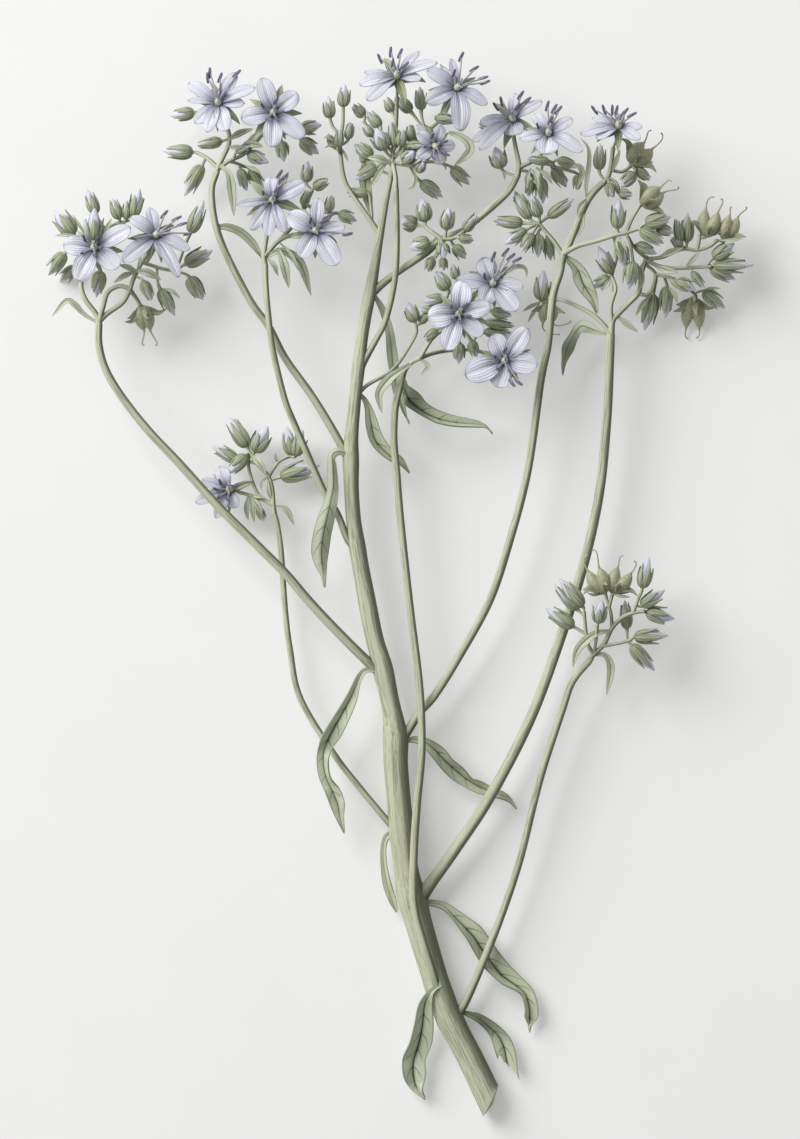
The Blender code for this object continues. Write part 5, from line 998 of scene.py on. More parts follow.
class Skin:
    """One piece in the making: its points, faces and, for each, what its finish needs."""

    def __init__(self):
        self.points = []
        self.faces = []
        self.finishes = []
        self.grain = []
        self.painted_shade = []

    def add(self, points, faces, grain, painted_shade, finish):
        """Adds a patch. Grain gives the place on the patch, and the value after it how dark its painted
        shade is.
        """
        start = len(self.points)
        self.points += list(points)
        self.faces += [[start + corner for corner in face] for face in faces]
        self.finishes += [finish] * len(faces)
        self.grain += list(grain)
        self.painted_shade += list(painted_shade)

    def make(self, name, materials):
        """The mesh object of everything added."""
        points = np.array(self.points)
        points[:, 2] = np.maximum(points[:, 2], FLOOR_GAP)
        mesh = bpy.data.meshes.new(name)
        mesh.from_pydata(points.tolist(), [], self.faces)
        used = [finish for finish in materials if finish in self.finishes]
        for finish in used:
            mesh.materials.append(materials[finish])
        slots = [used.index(finish) for finish in self.finishes]
        mesh.polygons.foreach_set("material_index", slots)
        grain = mesh.attributes.new("grain", "FLOAT_VECTOR", "POINT")
        grain.data.foreach_set("vector", np.array(self.grain, np.float32).ravel())
        # Painted shade of each point, which the finishes mix in as a darker colour
        painted_shade = mesh.attributes.new("painted_shade", "FLOAT", "POINT")
        painted_shade.data.foreach_set("value", np.array(self.painted_shade, np.float32))
        mesh.shade_smooth()
        mesh.set_sharp_from_angle(angle=SHARP_ANGLE)
        mesh.validate()
        return show(name, mesh)


def turning(line):
    """Two directions square to a line at each of its points, which turn as little as they can."""
    along = headings(line)
    side = LINE_SIDE
    sides = []
    for direction in along:
        side = across(direction, side)
        sides.append(side)
    sides = np.array(sides)
    return sides, np.cross(along, sides)


def round_grid(line, radii, sides, ribs=0, rib_depth=0.0):
    """Rings of points round a line, and their places round and along it."""
    side, other = turning(line)
    turns = 2 * math.pi * np.arange(sides) / sides
    reach = np.array(radii)[:, None] * (1 + rib_depth * np.cos(ribs * turns))
    spokes = np.cos(turns)[:, None] * side[:, None] + np.sin(turns)[:, None] * other[:, None]
    grain = patch(reach * np.cos(turns), reach * np.sin(turns), lengths(line)[:, None])
    return line[:, None] + reach[:, :, None] * spokes, grain


def add_round(skin, grid, grain, painted_shade, finish, open_foot=False):
    """Adds rings of points as a round surface with blunt ends, or none at an open foot."""
    rows, sides = grid.shape[:2]
    faces = lattice(rows, sides, closed=True).tolist()
    points = grid.reshape(-1, 3)
    places = grain.reshape(-1, 3)
    painted_shades = np.broadcast_to(painted_shade, (rows, sides)).ravel()
    ends = ((-1, -2, False),) if open_foot else ((0, 1, True), (-1, -2, False))
    for end, beside, turned in ends:
        middle = grid[end].mean(axis=0)
        radius = np.linalg.norm(grid[end, 0] - middle)
        pole = middle + unit(middle - grid[beside].mean(axis=0)) * radius * END_BULGE
        start = end % rows * sides
        for k in range(sides):
            pair = [start + k, start + (k + 1) % sides]
            faces.append((pair[::-1] if turned else pair) + [len(points)])
        points = np.vstack([points, pole])
        places = np.vstack([places, grain[end].mean(axis=0)])
        painted_shades = np.append(painted_shades, painted_shades[start])
    skin.add(points, faces, places, painted_shades, finish)


def painted_side_shade(grid, line):
    """Painted shade of each point of a stem, by how far it faces the stem's darker side."""
    out = grid - line[:, None]
    out /= np.linalg.norm(out, axis=2, keepdims=True)
    return follow(SIDE_SHADES, out @ PAINTED_SHADE_SIDE)


def rod(skin, line, radii, finish, sides, ribs=0, rib_depth=0.0, painted_shade=0.0):
    """Round rod along a line; a stem gets painted shade on one side."""
    grid, grain = round_grid(line, radii, sides, ribs, rib_depth)
    if finish == "stem":
        painted_shade = painted_shade + painted_side_shade(grid, line)
    add_round(skin, grid, grain, painted_shade, finish)


def wire(skin, kind, finish, start, leaving, end, arriving):
    """Thin part of one of the kinds, on a soft curve that leaves one way and arrives another."""
    count, sides, radius, bends, outline = WIRES[kind]
    gap = np.linalg.norm(end - start)
    line = arc(start, start + leaving * gap * bends[0], end - arriving * gap * bends[1], end, count)
    rod(skin, line, radius * follow(outline, np.linspace(0, 1, count)), finish, sides)
    return line


def shell(skin, middle, thickness, grain, painted_shade, finish):
    """Thin closed sheet round a grid of points; columns go to the right, rows to the tip."""
    rows, columns = middle.shape[:2]
    normal = np.cross(np.gradient(middle, axis=1), np.gradient(middle, axis=0))
    normal /= np.maximum(np.linalg.norm(normal, axis=2, keepdims=True), SHORTEST)
    points = np.stack([middle + normal * thickness / 2, middle - normal * thickness / 2])
    count = rows * columns
    top = lattice(rows, columns)
    corner = np.arange(count).reshape(rows, columns)
    edge = np.concatenate([corner[0], corner[1:, -1], corner[-1, -2::-1], corner[-2:0:-1, 0]])
    after = np.roll(edge, -1)
    rim = np.stack([edge + count, after + count, after, edge], -1)
    faces = np.vstack([top, top[:, ::-1] + count, rim]).tolist()
    places = np.concatenate([grain.reshape(-1, 3)] * 2)
    painted_shades = np.tile(np.broadcast_to(painted_shade, (rows, columns)).ravel(), 2)
    skin.add(points.reshape(-1, 3), faces, places, painted_shades, finish)


def petal(skin, base, tip, up, width, draw):
    """One petal: broad and rounded, arched outward, cupped and creased along its middle."""
    u = np.linspace(-1, 1, PETAL_COLUMNS)
    v = (1 - (1 - np.linspace(0, 1, PETAL_ROWS)) ** PETAL_CROWDING)[:, None]
    opening = np.sin(math.pi / 2 * np.clip(v / PETAL_WIDEST, 0, 1)) ** PETAL_OPENING
    closing = np.clip((v - PETAL_WIDEST) / (1 - PETAL_WIDEST), 0, 1) ** PETAL_CLOSING
    outline = PETAL_CLAW + (1 - PETAL_CLAW) * opening
    outline = outline * np.maximum(1 - closing, PETAL_TIP) ** PETAL_BLUNTNESS
    half = width / 2 * outline * draw.uniform(*PETAL_FULLNESS)
    reach = np.linalg.norm(tip - base)
    along = unit(tip - base)
    up = across(along, up)
    side = np.cross(along, up)
    wave = draw.uniform(0, 2 * math.pi)
    lift = reach * draw.uniform(*PETAL_ARCH) * np.sin(math.pi * v**PETAL_ARCH_FORWARD)
    lift = lift + half * draw.uniform(*PETAL_CUPPING) * (1 - PETAL_FLATTENING * v) * u**2
    lift = lift + half * draw.uniform(*PETAL_TWIST) * u * v
    lift = lift - PETAL_CREASE * width * bell(u, PETAL_CREASE_REACH) * np.sqrt(1 - v)
    for ridge in PETAL_RIDGES:
        beside = bell(np.abs(u) - ridge, PETAL_RIDGE_REACH)
        lift = lift + PETAL_RIDGE * width * beside * np.sin(math.pi * v)
    lift = lift + PETAL_WAVE * width * u**2 * np.sin(PETAL_WAVES * v + wave) * v
    middle = (
        base + along * (reach * v)[:, :, None] + side * (half * u)[:, :, None] + up * lift[:, :, None]
    )
    grain = patch(u, v, draw.uniform(*GRAIN_SHIFTS))
    # Painted shade in the throat, fading out along the petal
    shell(skin, middle, PETAL_THICKNESS, grain, np.clip(1 - PETAL_THROAT_SHADE * v, 0, 1), "petal")


def torn(middle, left, rib, right):
    """The grid of a leaf with its end torn across."""
    ahead = unit(rib[-1] - rib[-3]) * np.linalg.norm(left[-1] - right[-1])
    shares = np.linspace(-1, 1, middle.shape[1])
    bite = np.interp(shares, np.linspace(-1, 1, len(TORN_EDGE)), TORN_EDGE)
    run = lengths(rib)
    late = np.clip((run / run[-1] - TORN_FROM) / (1 - TORN_FROM), 0, 1) ** 2
    return middle + (late[:, None] * bite)[:, :, None] * ahead


def strap(skin, left, rib, right, over, fold, shade, thickness, finish, draw, broken=False):
    """Leaf, bract or sepal between two edges, creased along its midrib; over is its upper side."""
    u = np.linspace(-1, 1, STRAP_COLUMNS)
    share = np.abs(u)
    seen = [np.linalg.norm(edge - rib, axis=1) for edge in (left, right)]
    wide = np.maximum(*seen)
    rises = [fold * np.sqrt(np.maximum((FULL_WIDTH * wide) ** 2 - half**2, 0)) for half in seen]
    rise = np.where(u < 0, rises[0][:, None], rises[1][:, None]) * share**HALF_ROUNDNESS
    run = lengths(rib)
    v = run / run[-1]
    ripple = RIPPLE * wide * np.sin(run / RIPPLE_RUN + draw.uniform(*RIPPLE_STARTS)) * np.sin(math.pi * v)
    rise = rise + ripple[:, None] * u**2 * np.sign(u)
    rise = rise - RIB_CREASE * wide[:, None] * bell(u, RIB_CREASE_REACH)
    edges = np.where((u < 0)[:, None], left[:, None], right[:, None])
    middle = rib[:, None] + (edges - rib[:, None]) * share[:, None] + over[:, None] * rise[:, :, None]
    if broken:
        middle = torn(middle, left, rib, right)
    if finish == "leaf":
        grain = patch(u * wide[:, None], run[:, None], u)
    else:
        grain = patch(u, v[:, None], run[-1])
    # Painted shade along the rows, darker where the shade passed in is higher
    shell(skin, middle, thickness, grain, shade[:, None], finish)


def leaf(skin, rows, fold, draw, broken):
    """Leaf from its sheet rows, with the painted shade that they give."""
    rows = np.array(rows, float)
    knots = np.column_stack([sheet(rows[:, line]) for line in LEAF_LINES] + [rows[:, LEAF_SHADE]])
    rib, left, right, shade = np.split(smooth(knots, LEAF_STEP), (3, 6, 9), axis=1)
    over = np.tile(UPWARD, (len(rib), 1))
    strap(skin, left, rib, right, over, fold, shade[:, 0], LEAF_THICKNESS, "leaf", draw, broken)


def bract(skin, knots, width, up, outline, thickness, finish, draw):
    """Narrow leaf of even outline along a line."""
    line = smooth(knots, LEAF_STEP)
    run = lengths(line)
    wide = follow(outline, run / run[-1]) * width / 2
    along = headings(line)
    over = np.array([across(way, up) for way in along])
    side = np.cross(along, over) * wide[:, None]
    # Painted shade at the foot, fading towards the tip
    shade = BASE_SHADE * np.exp(-run / BASE_SHADE_RUN)
    strap(skin, line - side, line, line + side, over, 1, shade, thickness, finish, draw)


def joint(places, foot, facing):
    """The place on the stalks that a pedicel comes from: near, and behind what it carries."""
    offsets = foot - places
    distances = np.linalg.norm(offsets, axis=1)
    cost = distances - BEHIND_WEIGHT * offsets @ facing
    cost[distances < TOO_NEAR] += TOO_NEAR_COST
    return places[np.argmin(cost)]


def pedicel(skin, places, foot, facing):
    """Thin stalk of a bud, a fruit or a flower, thicker towards what it carries."""
    stalk = joint(places, foot, facing)
    wire(skin, "pedicel", "stem", stalk, unit(foot - stalk), foot, facing)


def bud(skin, places, foot, tip, width, draw):
    """Closed bud on its pedicel: a furrowed cone of petals held by five pointed sepals."""
    length = np.linalg.norm(tip - foot)
    facing = unit(tip - foot)
    pedicel(skin, places, foot, facing)
    side, other = square_pair(facing, BUD_SIDE)
    first = draw.uniform(0, 2 * math.pi)

    def core(height):
        """Radius of the bud at a share of its length."""
        return width / 2 * plump(height, *BUD_SHAPE)

    def wrap(turn, height, radius):
        """Points round the bud's axis."""
        spokes = np.cos(turn)[..., None] * side + np.sin(turn)[..., None] * other
        return foot + facing * (height * length)[..., None] + spokes * radius[..., None]

    height = np.linspace(0, BUD_END, BUD_ROWS)[:, None]
    around = 2 * math.pi * np.arange(BUD_SIDES) / BUD_SIDES
    turn = first + around + BUD_SPIRAL * height
    furrow = 1 - BUD_FURROW * np.cos(FLOWER_PARTS * around) * np.sin(math.pi * height)
    grid = wrap(turn, height, core(height) * BUD_CORE * furrow)
    # Painted shade on the bud's petals, darkest at its foot
    add_round(skin, grid, patch(np.sin(turn), height, turn), BUD_PAINTED_SHADE * (1 - height), "petal")

    reach = draw.uniform(*(BIG_BUD_REACH if width > SMALL_BUD else SMALL_BUD_REACH))
    u = np.linspace(-1, 1, BUD_SEPAL_COLUMNS)
    v = np.linspace(0, 1, BUD_SEPAL_ROWS)[:, None]
    narrowing = (1 - v**BUD_SEPAL_FULLNESS) ** BUD_SEPAL_POINT
    spread = BUD_SEPAL_SPREAD * narrowing + BUD_SEPAL_TIP
    keel = 1 + BUD_SEPAL_KEEL * (1 - np.abs(u)) + BUD_SEPAL_LAP * u
    for k in range(FLOWER_PARTS):
        middle = first + 2 * math.pi * (k + 0.5) / FLOWER_PARTS
        turn = middle + u * spread + draw.uniform(*BUD_SEPAL_SHIFTS)
        height = np.minimum(v * reach * draw.uniform(*BUD_SEPAL_REACHES), BUD_END)
        flare = width * draw.uniform(*BUD_SEPAL_FLARES) * v**BUD_SEPAL_FLARE_LATE
        radius = core(height) * BUD_SEPAL_PLACE * keel + BUD_SEPAL_GAP + flare
        grain = patch(u, v, draw.uniform(*GRAIN_SHIFTS))
        # Painted shade on the sepal, darkest at its foot
        painted_shade = BUD_SEPAL_PAINTED_SHADE * (1 - v)
        shell(skin, wrap(turn, height, radius), SEPAL_THICKNESS, grain, painted_shade, "sepal")


def cup(skin, foot, centre, radius, draw, turns, axes, reach, opened):
    """Cup of a calyx with sepals along the given turns, opened by an angle from its axis."""
    facing = unit(centre - foot)
    depth = np.linalg.norm(centre - foot)
    line = np.array([foot + facing * depth * share for share, _ in CUP_OUTLINE])
    radii = [radius * share for _, share in CUP_OUTLINE]
    rod(skin, line, radii, "sepal", CUP_SIDES, FLOWER_PARTS, CUP_RIB_DEPTH)
    for turn in turns:
        out = spoke(turn, axes)
        far = reach * draw.uniform(*SEPAL_REACHES)
        root = foot + out * radius * SEPAL_INSET
        start = root + facing * depth * SEPAL_START
        knots = [root + facing * depth * SEPAL_ROOT, start]
        for share, bend in (*SEPAL_BENDS, (1.0, draw.uniform(*SEPAL_TIP_BENDS))):
            knots.append(start + spoke(opened + bend, (facing, out)) * far * share)
        over = unit(facing + SEPAL_TURN)
        bract(skin, knots, far * SEPAL_WIDTH, over, SEPAL_OUTLINE, SEPAL_THICKNESS, "sepal", draw)


def foot_painted_shade(stops):
    """Painted shade of an ovary or a fruit, darkest at its foot and gone at its tip."""
    return FOOT_PAINTED_SHADE * (1 - stops[:, None]) ** 2


def lifted(row, centre, facing, rise, slope, limits):
    """A sheet position in a flower, raised along its facing, the more so the further out it is."""
    place = spot((*row, 0.0))
    flat = (place - centre)[:2]
    height = (rise + slope * np.linalg.norm(flat) - facing[:2] @ flat) / facing[2]
    place[2] = centre[2] + np.clip(height, *limits)
    return place


def petals(skin, centre, facing, axes, tips, draw):
    """The petals of a flower; returns the turn and the reach of each."""
    turns = []
    reaches = []
    for *row, width in tips:
        tip = lifted(row, centre, facing, 0.0, PETAL_RISE, PETAL_HEIGHTS)
        out = across(facing, tip - centre)
        turns.append(math.atan2(out @ axes[1], out @ axes[0]) % (2 * math.pi))
        reaches.append(np.linalg.norm(tip - centre))
        base = centre + out * PETAL_FOOT + facing * PETAL_SEAT
        petal(skin, base, tip, facing, width * PIXEL, draw)
    return turns, reaches


def ovary(skin, centre, facing, axes):
    """Ovary in the middle of a flower, with its two styles."""
    stops = np.linspace(0, 1, OVARY_ROWS)
    line = centre + facing * (stops * OVARY_HEIGHT)[:, None]
    radii = OVARY_RADIUS * rounded(OVARY_START, OVARY_ROWS)
    rod(skin, line, radii, "ovary", OVARY_SIDES, OVARY_FURROWS, FURROW_DEPTH, foot_painted_shade(stops))
    foot = centre + facing * STYLE_FOOT
    for lean in (-1, 1):
        way = unit(facing + STYLE_SPREAD * lean * axes[1] + STYLE_LEAN * axes[0])
        wire(skin, "style", "thread", foot, way, foot + way * STYLE_LENGTH, facing)


def stamen(skin, base, tip, facing):
    """Thread with a swollen foot and a long two-lobed anther that carries on in its direction."""
    way = unit(tip - base)
    line = wire(skin, "thread", "thread", base, facing, tip, unit(way + facing * STAMEN_STRAIGHTENING))
    step = np.linalg.norm(tip - base) / (len(line) - 1)
    axis = unit(line[-1] - line[-2] + across(way, ANTHER_SIDE) * ANTHER_LEAN * step)
    stops = np.linspace(*ANTHER_ENDS, ANTHER_ROWS)
    radii = ANTHER_RADIUS * rounded(-1, ANTHER_ROWS) * LOBE_WIDTH
    for lobe in (-1, 1):
        shift = np.cross(axis, facing) * lobe * ANTHER_RADIUS * LOBE_SHIFT
        line = tip + shift + axis * (stops * ANTHER_LENGTH)[:, None]
        rod(skin, line, radii, "anther", ANTHER_SIDES)


def stamens(skin, centre, facing, axes, tips, gaps, draw):
    """Five stamens: those whose tips the sheet shows, and shorter ones between the petals."""
    ends = [lifted(row, centre, facing, STAMEN_RISE, 0.0, STAMEN_HEIGHTS) for row in tips]
    for turn in gaps[: max(0, FLOWER_PARTS - len(ends))]:
        lean = STAMEN_LEAN * draw.uniform(*STAMEN_LEANS)
        height = STAMEN_HEIGHT * draw.uniform(*STAMEN_LENGTHS)
        ends.append(centre + spoke(turn, axes) * lean + facing * height)
    for end in ends:
        out = across(facing, end - centre)
        stamen(skin, centre + out * STAMEN_FOOT + facing * STAMEN_SEAT, end, facing)


def bloom(skin, calyx_skin, places, row, draw):
    """Open flower: five petals, ovary with two styles, five stamens, and its green cup."""
    centre, facing, petal_tips, stamen_tips = row
    centre = spot(centre)
    facing = unit(facing)
    axes = square_pair(facing, BLOOM_SIDE)
    turns, reaches = petals(skin, centre, facing, axes, petal_tips, draw)
    order = np.sort(turns)
    gaps = (order + np.append(order[1:], order[0] + 2 * math.pi)) / 2
    foot = centre - facing * CUP_DEPTH
    pedicel(calyx_skin, places, foot, facing)
    reach = CALYX_REACH * np.median(reaches)
    cup(calyx_skin, foot, centre - facing * CUP_GAP, CUP_RADIUS, draw, gaps, axes, reach, CALYX_OPENING)
    ovary(skin, centre, facing, axes)
    stamens(skin, centre, facing, axes, stamen_tips, gaps, draw)


def fruit(skin, places, foot, lobes, styles, width, draw):
    """Paired fruit in its cup of spread sepals, with a curved style on each half."""
    middle = np.mean(lobes, axis=0)
    facing = unit(middle - foot)
    pedicel(skin, places, foot, facing)
    axes = square_pair(facing, BUD_SIDE)
    turns = draw.uniform(*FRUIT_TURNS) + 2 * math.pi * np.arange(FLOWER_PARTS) / FLOWER_PARTS
    rim = foot + facing * width * FRUIT_CUP_DEPTH
    reach = width * FRUIT_SEPAL_REACH
    cup(skin, foot, rim, width * FRUIT_CUP_RADIUS, draw, turns, axes, reach, FRUIT_OPENING)
    stops = np.linspace(0, 1, FRUIT_ROWS)
    bulge = np.sin(math.pi * stops) * width * FRUIT_BULGE
    radii = width / 2 * plump(np.linspace(*FRUIT_SPAN, FRUIT_ROWS), *FRUIT_SHAPE)
    for end, tip in zip(lobes, styles):
        away = unit(end - middle)
        line = foot + (end - foot) * stops[:, None] + away * bulge[:, None]
        rod(skin, line, radii, "fruit", FRUIT_SIDES, 1, FURROW_DEPTH, foot_painted_shade(stops))
        wire(skin, "fruit_style", "fruit", end, unit(end - foot), tip, -away)


def swelling(line, places, reach, amount):
    """How much wider a stem is at each point, for swellings round some places on it."""
    widths = np.ones(len(line))
    run = lengths(line)
    for place in places:
        near = np.argmin(np.linalg.norm(line - place, axis=1))
        widths += amount * bell(run - run[near], reach)
    return widths


def main_stem(skin):
    """The main stem, swollen where branches leave it, with its slanting cut and pale pith."""
    rows = smooth(sheet(MAIN_STEM), STEM_STEP)
    line = rows[:, :3]
    feet = [spot(run[0]) for _, _, run in BRANCHES.values()]
    radii = rows[:, 3] * swelling(line, feet, NODE_RUN, NODE_SWELL)
    grid, grain = round_grid(line, radii, STEM_SIDES, STEM_RIBS, RIB_DEPTH)
    ahead = unit(line[1] - line[0])
    slope = across(ahead, CUT_SIDE)
    late = np.clip(1 - lengths(line) / CUT_REACH, 0, 1) ** 2
    grid = grid - ahead * (late[:, None] * CUT_SLANT * ((grid - line[:, None]) @ slope))[:, :, None]
    # Painted shade on the side of the main stem away from the lamp
    add_round(skin, grid, grain, painted_side_shade(grid, line), "stem", open_foot=True)
    rim = grid[0]
    centre = rim.mean(axis=0)
    rings = [rim]
    for share in CUT_RINGS:
        rings.append(centre + (rim - centre) * share + ahead * CUT_HOLLOW * (1 - share**2))
    flat = np.array(rings[::-1])
    shades = np.array(CUT_SHADES[::-1])[:, None]
    add_round(skin, flat, flat, shades, "pith")


class Finish:
    """One material in the making: adds nodes and links them."""

    def __init__(self, name, roughness):
        self.material = bpy.data.materials.new(name)
        self.material.use_nodes = True
        self.tree = self.material.node_tree
        self.shader = self.tree.nodes["Principled BSDF"]
        self.shader.inputs["Roughness"].default_value = roughness

    def node(self, kind, sockets, result=0, **settings):
        """A node with its settings and inputs; returns the wanted output."""
        node = self.tree.nodes.new(kind)
        for key, value in settings.items():
            setattr(node, key, value)
        for key, value in sockets.items():
            if isinstance(value, bpy.types.NodeSocket):
                self.tree.links.new(value, node.inputs[key])
            else:
                node.inputs[key].default_value = value
        return node.outputs[result]

    def value(self, operation, first, second=0.0):
        """A number worked out from one or two others."""
        return self.node("ShaderNodeMath", {0: first, 1: second}, operation=operation)

    def plus(self, first, second):
        return self.value("ADD", first, second)

    def minus(self, first, second):
        return self.value("SUBTRACT", first, second)

    def times(self, first, second):
        return self.value("MULTIPLY", first, second)

    def size(self, first):
        """A number without its sign."""
        return self.value("ABSOLUTE", first)

    def waves(self, place, period):
        """A wave of a number, from -1 to 1."""
        return self.value("SINE", self.times(place, 2 * math.pi / period))

    def attribute(self, name, result):
        return self.node("ShaderNodeAttribute", {}, result, attribute_name=name)

    def grain(self):
        """The place on the patch of skin."""
        return self.attribute("grain", "Vector")

    def position(self):
        """The place on the piece, in metres."""
        return self.node("ShaderNodeTexCoord", {}, "Object")

    def stretch(self, vector, scale):
        return self.node("ShaderNodeVectorMath", {0: vector, 1: scale}, operation="MULTIPLY")

    def parts(self, vector):
        """The three numbers of a vector."""
        node = self.tree.nodes.new("ShaderNodeSeparateXYZ")
        self.tree.links.new(vector, node.inputs[0])
        return node.outputs

    def noise(self, vector, scale, detail=3.0):
        return self.node("ShaderNodeTexNoise", {"Vector": vector, "Scale": scale, "Detail": detail})

    def band(self, value, low, high):
        """0 below low and 1 above high, soft in between; high may lie below low."""
        settings = {"Value": value, "From Min": low, "From Max": high}
        return self.node("ShaderNodeMapRange", settings, interpolation_type="SMOOTHSTEP")

    def mix(self, first, second, share, amount=None):
        """Blends a second colour into the first by a share, or by some amount of the share."""
        if amount is not None:
            share = self.times(share, amount)
        sockets = {0: share, MIX_FIRST: first, MIX_SECOND: second}
        return self.node("ShaderNodeMix", sockets, MIX_RESULT, data_type="RGBA")

    def painted_shading(self, colour, dark, amount):
        """The colour, mixed towards the dark one by the painted shade that the skin carries."""
        return self.mix(colour, dark, self.attribute("painted_shade", "Fac"), amount)

    def colour(self, colour):
        self.tree.links.new(colour, self.shader.inputs["Base Color"])

    def relief(self, height, distance):
        sockets = {"Height": height, "Distance": distance, "Strength": RELIEF_STRENGTH}
        self.tree.links.new(self.node("ShaderNodeBump", sockets), self.shader.inputs["Normal"])


def stem_finish():
    """Grey-green stem with fine lengthwise lines, and painted shade on one side and at branch feet."""
    made = Finish("stem", roughness=0.62)
    grain = made.grain()
    streak = made.noise(made.stretch(grain, FINE_STRETCH), scale=5200.0)
    coarse = made.noise(made.stretch(grain, COARSE_STRETCH), scale=1400.0)
    lines = made.plus(made.times(streak, FINE_SHARE), made.times(coarse, 1 - FINE_SHARE))
    # More dark streaks where the stem has painted shade
    thinned = made.minus(lines, made.times(made.attribute("painted_shade", "Fac"), PAINTED_SHADE_STREAKS))
    dark = made.band(thinned, low=0.5, high=0.4)
    warm = made.band(made.noise(made.position(), scale=45.0), low=0.45, high=0.7)
    colour = made.mix(STEM_LIGHT, STEM_DARK, dark, amount=0.6)
    colour = made.mix(colour, STEM_WARM, warm, amount=0.3)
    # Painted shade on one side of the stems and at the feet of the branches
    made.colour(made.painted_shading(colour, STEM_DARK, amount=0.78))
    made.relief(lines, STEM_RELIEF)
    return made


def leaf_veins(made, away, run, middle):
    """Arched side veins of a leaf, fading at its midrib, at its edge and where it is narrow."""
    bend = made.plus(made.times(away, VEIN_BEND), VEIN_SLANT)
    along = made.minus(run, made.times(away, bend))
    wobble = made.noise(made.position(), scale=260.0, detail=1.0)
    along = made.plus(along, made.times(wobble, VEIN_WOBBLE))
    veins = made.band(made.waves(along, VEIN_SPACING), low=0.86, high=1.0)
    veins = made.times(veins, made.band(middle, low=1.0, high=0.5))
    width = made.value("DIVIDE", away, made.plus(middle, NOT_ZERO))
    return made.times(veins, made.band(width, *VEINED_WIDTHS))


def leaf_finish():
    """Muted green leaf with a dark midrib line, side veins, fine net and darker rim, and painted shade
    beside the midrib and where its rows give it.
    """
    made = Finish("leaf", roughness=0.55)
    side, run, share = made.parts(made.grain())
    middle = made.size(share)
    veins = leaf_veins(made, made.size(side), run, middle)
    rib = made.band(middle, low=0.08, high=0.025)
    # Painted shade in the crease beside the midrib
    fold = made.band(middle, low=0.3, high=0.1)
    rim = made.band(middle, low=0.86, high=0.98)
    net = made.noise(made.position(), scale=2600.0)
    pale = made.band(net, low=0.3, high=0.7)
    cloud = made.band(made.noise(made.position(), scale=120.0), low=0.4, high=0.75)
    colour = made.mix(LEAF_MID, LEAF_LIGHT, pale)
    colour = made.mix(colour, LEAF_MID, cloud, amount=0.4)
    colour = made.mix(colour, LEAF_DARK, fold, amount=0.3)
    colour = made.mix(colour, LEAF_DARK, veins, amount=0.5)
    colour = made.mix(colour, LEAF_DARK, rib, amount=0.85)
    colour = made.mix(colour, LEAF_DARK, rim, amount=0.55)
    # Painted shade from the leaf's rows
    made.colour(made.painted_shading(colour, LEAF_DARK, amount=0.8))
    made.relief(made.minus(made.times(net, NET_SHARE), made.plus(veins, rib)), LEAF_RELIEF)
    return made


def lined_finish(name, lines, strength, rim, light, dark, roughness):
    """Sepals and petals: pale, with darker lines that fade towards the tip, a darker rim, and painted
    shade towards their feet.
    """
    made = Finish(name, roughness)
    grain = made.grain()
    side, run, _ = made.parts(grain)
    shift = made.noise(made.stretch(grain, SHIFT_STRETCH), scale=1.6, detail=2.0)
    waves = made.waves(made.plus(side, made.times(shift, LINE_SHIFT)), 1 / lines)
    streak = made.noise(made.stretch(grain, STREAK_STRETCH), scale=1.0, detail=4.0)
    thin = made.band(made.plus(waves, made.times(streak, LINE_BREAKS)), low=1.0, high=1.65)
    fade = made.times(made.band(run, low=0.85, high=0.2), strength)
    speckle = made.band(made.noise(made.position(), scale=1800.0), low=0.4, high=0.8)
    sides = made.band(made.size(side), low=0.84, high=1.0)
    tip = made.band(run, low=0.94, high=1.0)
    edge = made.value("MAXIMUM", sides, tip)
    colour = made.mix(light, dark, speckle, amount=0.15)
    colour = made.mix(colour, dark, made.times(thin, made.plus(fade, FAINTEST_LINE)))
    colour = made.mix(colour, dark, edge, amount=rim)
    # Painted shade at the feet of sepals and bud petals and in the throat of open petals
    made.colour(made.painted_shading(colour, dark, amount=0.75))
    made.relief(made.plus(made.times(waves, WAVE_SHARE), made.times(streak, STREAK_SHARE)), LINED_RELIEF)
    return made


def sepal_finish():
    """Green sepals with a few broad lines."""
    return lined_finish("sepal", lines=1.6, strength=0.55, rim=0.7,
                        light=SEPAL_LIGHT, dark=SEPAL_DARK, roughness=0.6)


def petal_finish():
    """Pale petals with many fine lines, which let some light through."""
    made = lined_finish("petal", lines=4.4, strength=0.62, rim=0.5,
                        light=PETAL_LIGHT, dark=PETAL_DARK, roughness=0.5)
    made.shader.inputs["Sheen Weight"].default_value = PETAL_SHEEN
    made.shader.inputs["Subsurface Weight"].default_value = PETAL_GLOW
    made.shader.inputs["Subsurface Radius"].default_value = PETAL_GLOW_REACH
    return made


def small_finish(name, light, dark, specks, roughness):
    """Small parts: finely mottled between two colours, with painted shade where they lie deep."""
    made = Finish(name, roughness)
    mottle = made.noise(made.position(), specks)
    pale = made.band(mottle, low=0.15, high=0.6)
    colour = made.mix(dark, light, pale)
    made.colour(made.painted_shading(colour, dark, amount=0.7))
    made.relief(mottle, SPECK_RELIEF)
    return made


def stand_for(node, skin, materials):
    """Makes the piece that stands for a solid of the part."""
    piece = skin.make(f"{node}_look", materials)
    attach(piece, "root")
    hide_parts(node)


def draw_for(name):
    """Random draws that are the same in each run for one piece."""
    return np.random.default_rng(zlib.crc32(name.encode()))


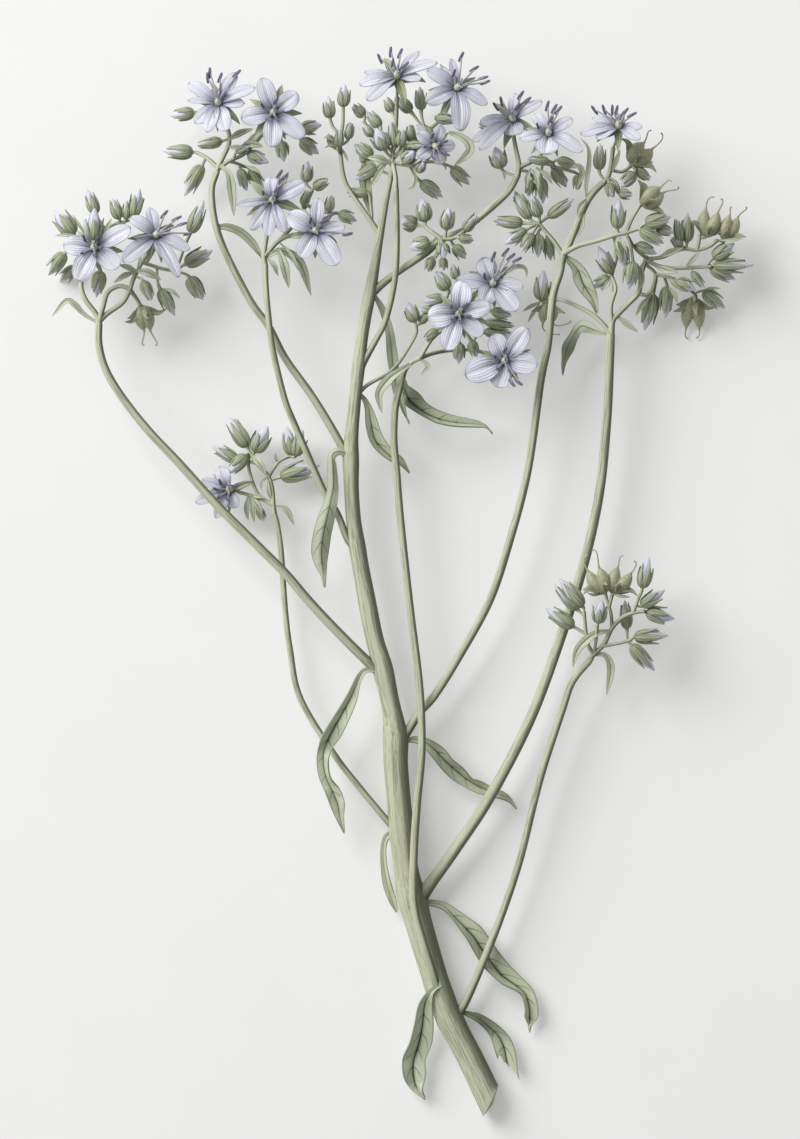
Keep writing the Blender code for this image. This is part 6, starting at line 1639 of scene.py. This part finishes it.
def build_stems(materials):
    """The main stem and its branches."""
    skin = Skin()
    main_stem(skin)
    stand_for("main_stem", skin, materials)
    for name, (foot, end, rows) in BRANCHES.items():
        skin = Skin()
        line = smooth(tapered(rows, foot, end), STEM_STEP)
        run = lengths(line)
        radii = line[:, 3] * (1 + FOOT_SWELL * np.exp(-run / (FOOT_RUN * foot * PIXEL)))
        radii[-1] *= BRANCH_END
        # Painted shade at the foot of the branch, where it leaves the stem
        shade = FOOT_SHADE * np.exp(-run[:, None] / FOOT_SHADE_RUN)
        rod(skin, line[:, :3], radii, "stem", BRANCH_SIDES, BRANCH_RIBS, RIB_DEPTH, shade)
        stand_for(name, skin, materials)


def build_leaves(materials):
    """The leaves on the main stem and the branches."""
    for name, (fold, rows) in LEAVES.items():
        skin = Skin()
        leaf(skin, rows, fold, draw_for(name), broken=name == TORN_LEAF)
        stand_for(name, skin, materials)


def build_head(name, materials):
    """One head or spray: its stalks and all that grows on them, and its flowers."""
    skin = Skin()
    draw = draw_for(name)
    stalks = [smooth(tapered(rows, foot, end), STALK_STEP) for foot, end, rows in STALKS[name]]
    for stalk in stalks:
        line = stalk[:, :3]
        radii = stalk[:, 3] * swelling(line, (line[0], line[-1]), STALK_SWELL_RUN, STALK_SWELL)
        rod(skin, line, radii, "stem", STALK_SIDES, STALK_RIBS, RIB_DEPTH)
    places = np.vstack([stalk[:, :3] for stalk in stalks])
    for *ends, width in BUDS.get(name, ()):
        bud(skin, places, spot(ends[:3]), spot(ends[3:]), width * PIXEL, draw)
    for *foot, lobes, styles, width in FRUITS.get(name, ()):
        fruit(skin, places, spot(foot), sheet(lobes), sheet(styles), width * PIXEL, draw)
    for width, rows in BRACTS.get(name, ()):
        bract(skin, sheet(rows), width * PIXEL, UPWARD, BRACT_OUTLINE, BRACT_THICKNESS, "leaf", draw)
    for number, row in enumerate(BLOOMS.get(name, ()), 1):
        flower = Skin()
        bloom(flower, skin, places, row, draw)
        stand_for(f"bloom_{name.split('_', 1)[1]}_{number}", flower, materials)
    stand_for(name, skin, materials)


def build_floor():
    """Pale floor that glows faintly, so that the shadows stay light."""
    half = FLOOR_SIZE / 2
    mesh = bpy.data.meshes.new("floor")
    corners = [(-half, -half, 0.0), (half, -half, 0.0), (half, half, 0.0), (-half, half, 0.0)]
    mesh.from_pydata(corners, [], [(0, 1, 2, 3)])
    paper = Finish("floor", roughness=0.9)
    paper.colour(paper.mix(FLOOR_DARK, FLOOR_LIGHT, paper.noise(paper.position(), scale=35.0)))
    paper.shader.inputs["Emission Color"].default_value = WHITE
    paper.shader.inputs["Emission Strength"].default_value = FLOOR_GLOW
    mesh.materials.append(paper.material)
    show("floor", mesh)


def build_light():
    """One soft lamp from the upper left and an even sky."""
    lamp = bpy.data.lights.new("key", "AREA")
    lamp.size = KEY_SIZE
    lamp.energy = KEY_POWER
    key = show("key", lamp)
    key.location = KEY_PLACE
    key.rotation_euler = (-Vector(KEY_PLACE)).to_track_quat("-Z", "Y").to_euler()
    world = bpy.data.worlds.new("world")
    world.use_nodes = True
    sky = world.node_tree.nodes["Background"]
    sky.inputs["Color"].default_value = WHITE
    sky.inputs["Strength"].default_value = SKY_STRENGTH
    bpy.context.scene.world = world
    bpy.context.scene.view_settings.view_transform = "Standard"


def build_camera():
    """Camera straight above, which frames the sheet."""
    lens = bpy.data.cameras.new("camera")
    lens.lens = LENS
    lens.sensor_width = SENSOR
    distance = SHEET_HEIGHT * PIXEL * LENS / SENSOR
    lens.clip_end = 2 * distance
    camera = show("camera", lens)
    camera.location = spot((*SHEET_CENTRE, CAMERA_PLANE)) + distance * np.array(UPWARD)
    bpy.context.scene.camera = camera


build_floor()
build_light()
build_camera()
finishes = {"stem": stem_finish(), "leaf": leaf_finish(), "sepal": sepal_finish(), "petal": petal_finish()}
for finish_name, settings in SMALL_FINISHES.items():
    finishes[finish_name] = small_finish(finish_name, *settings)
MATERIALS = {finish_name: made.material for finish_name, made in finishes.items()}

build_stems(MATERIALS)
build_leaves(MATERIALS)
for head_name in STALKS:
    build_head(head_name, MATERIALS)
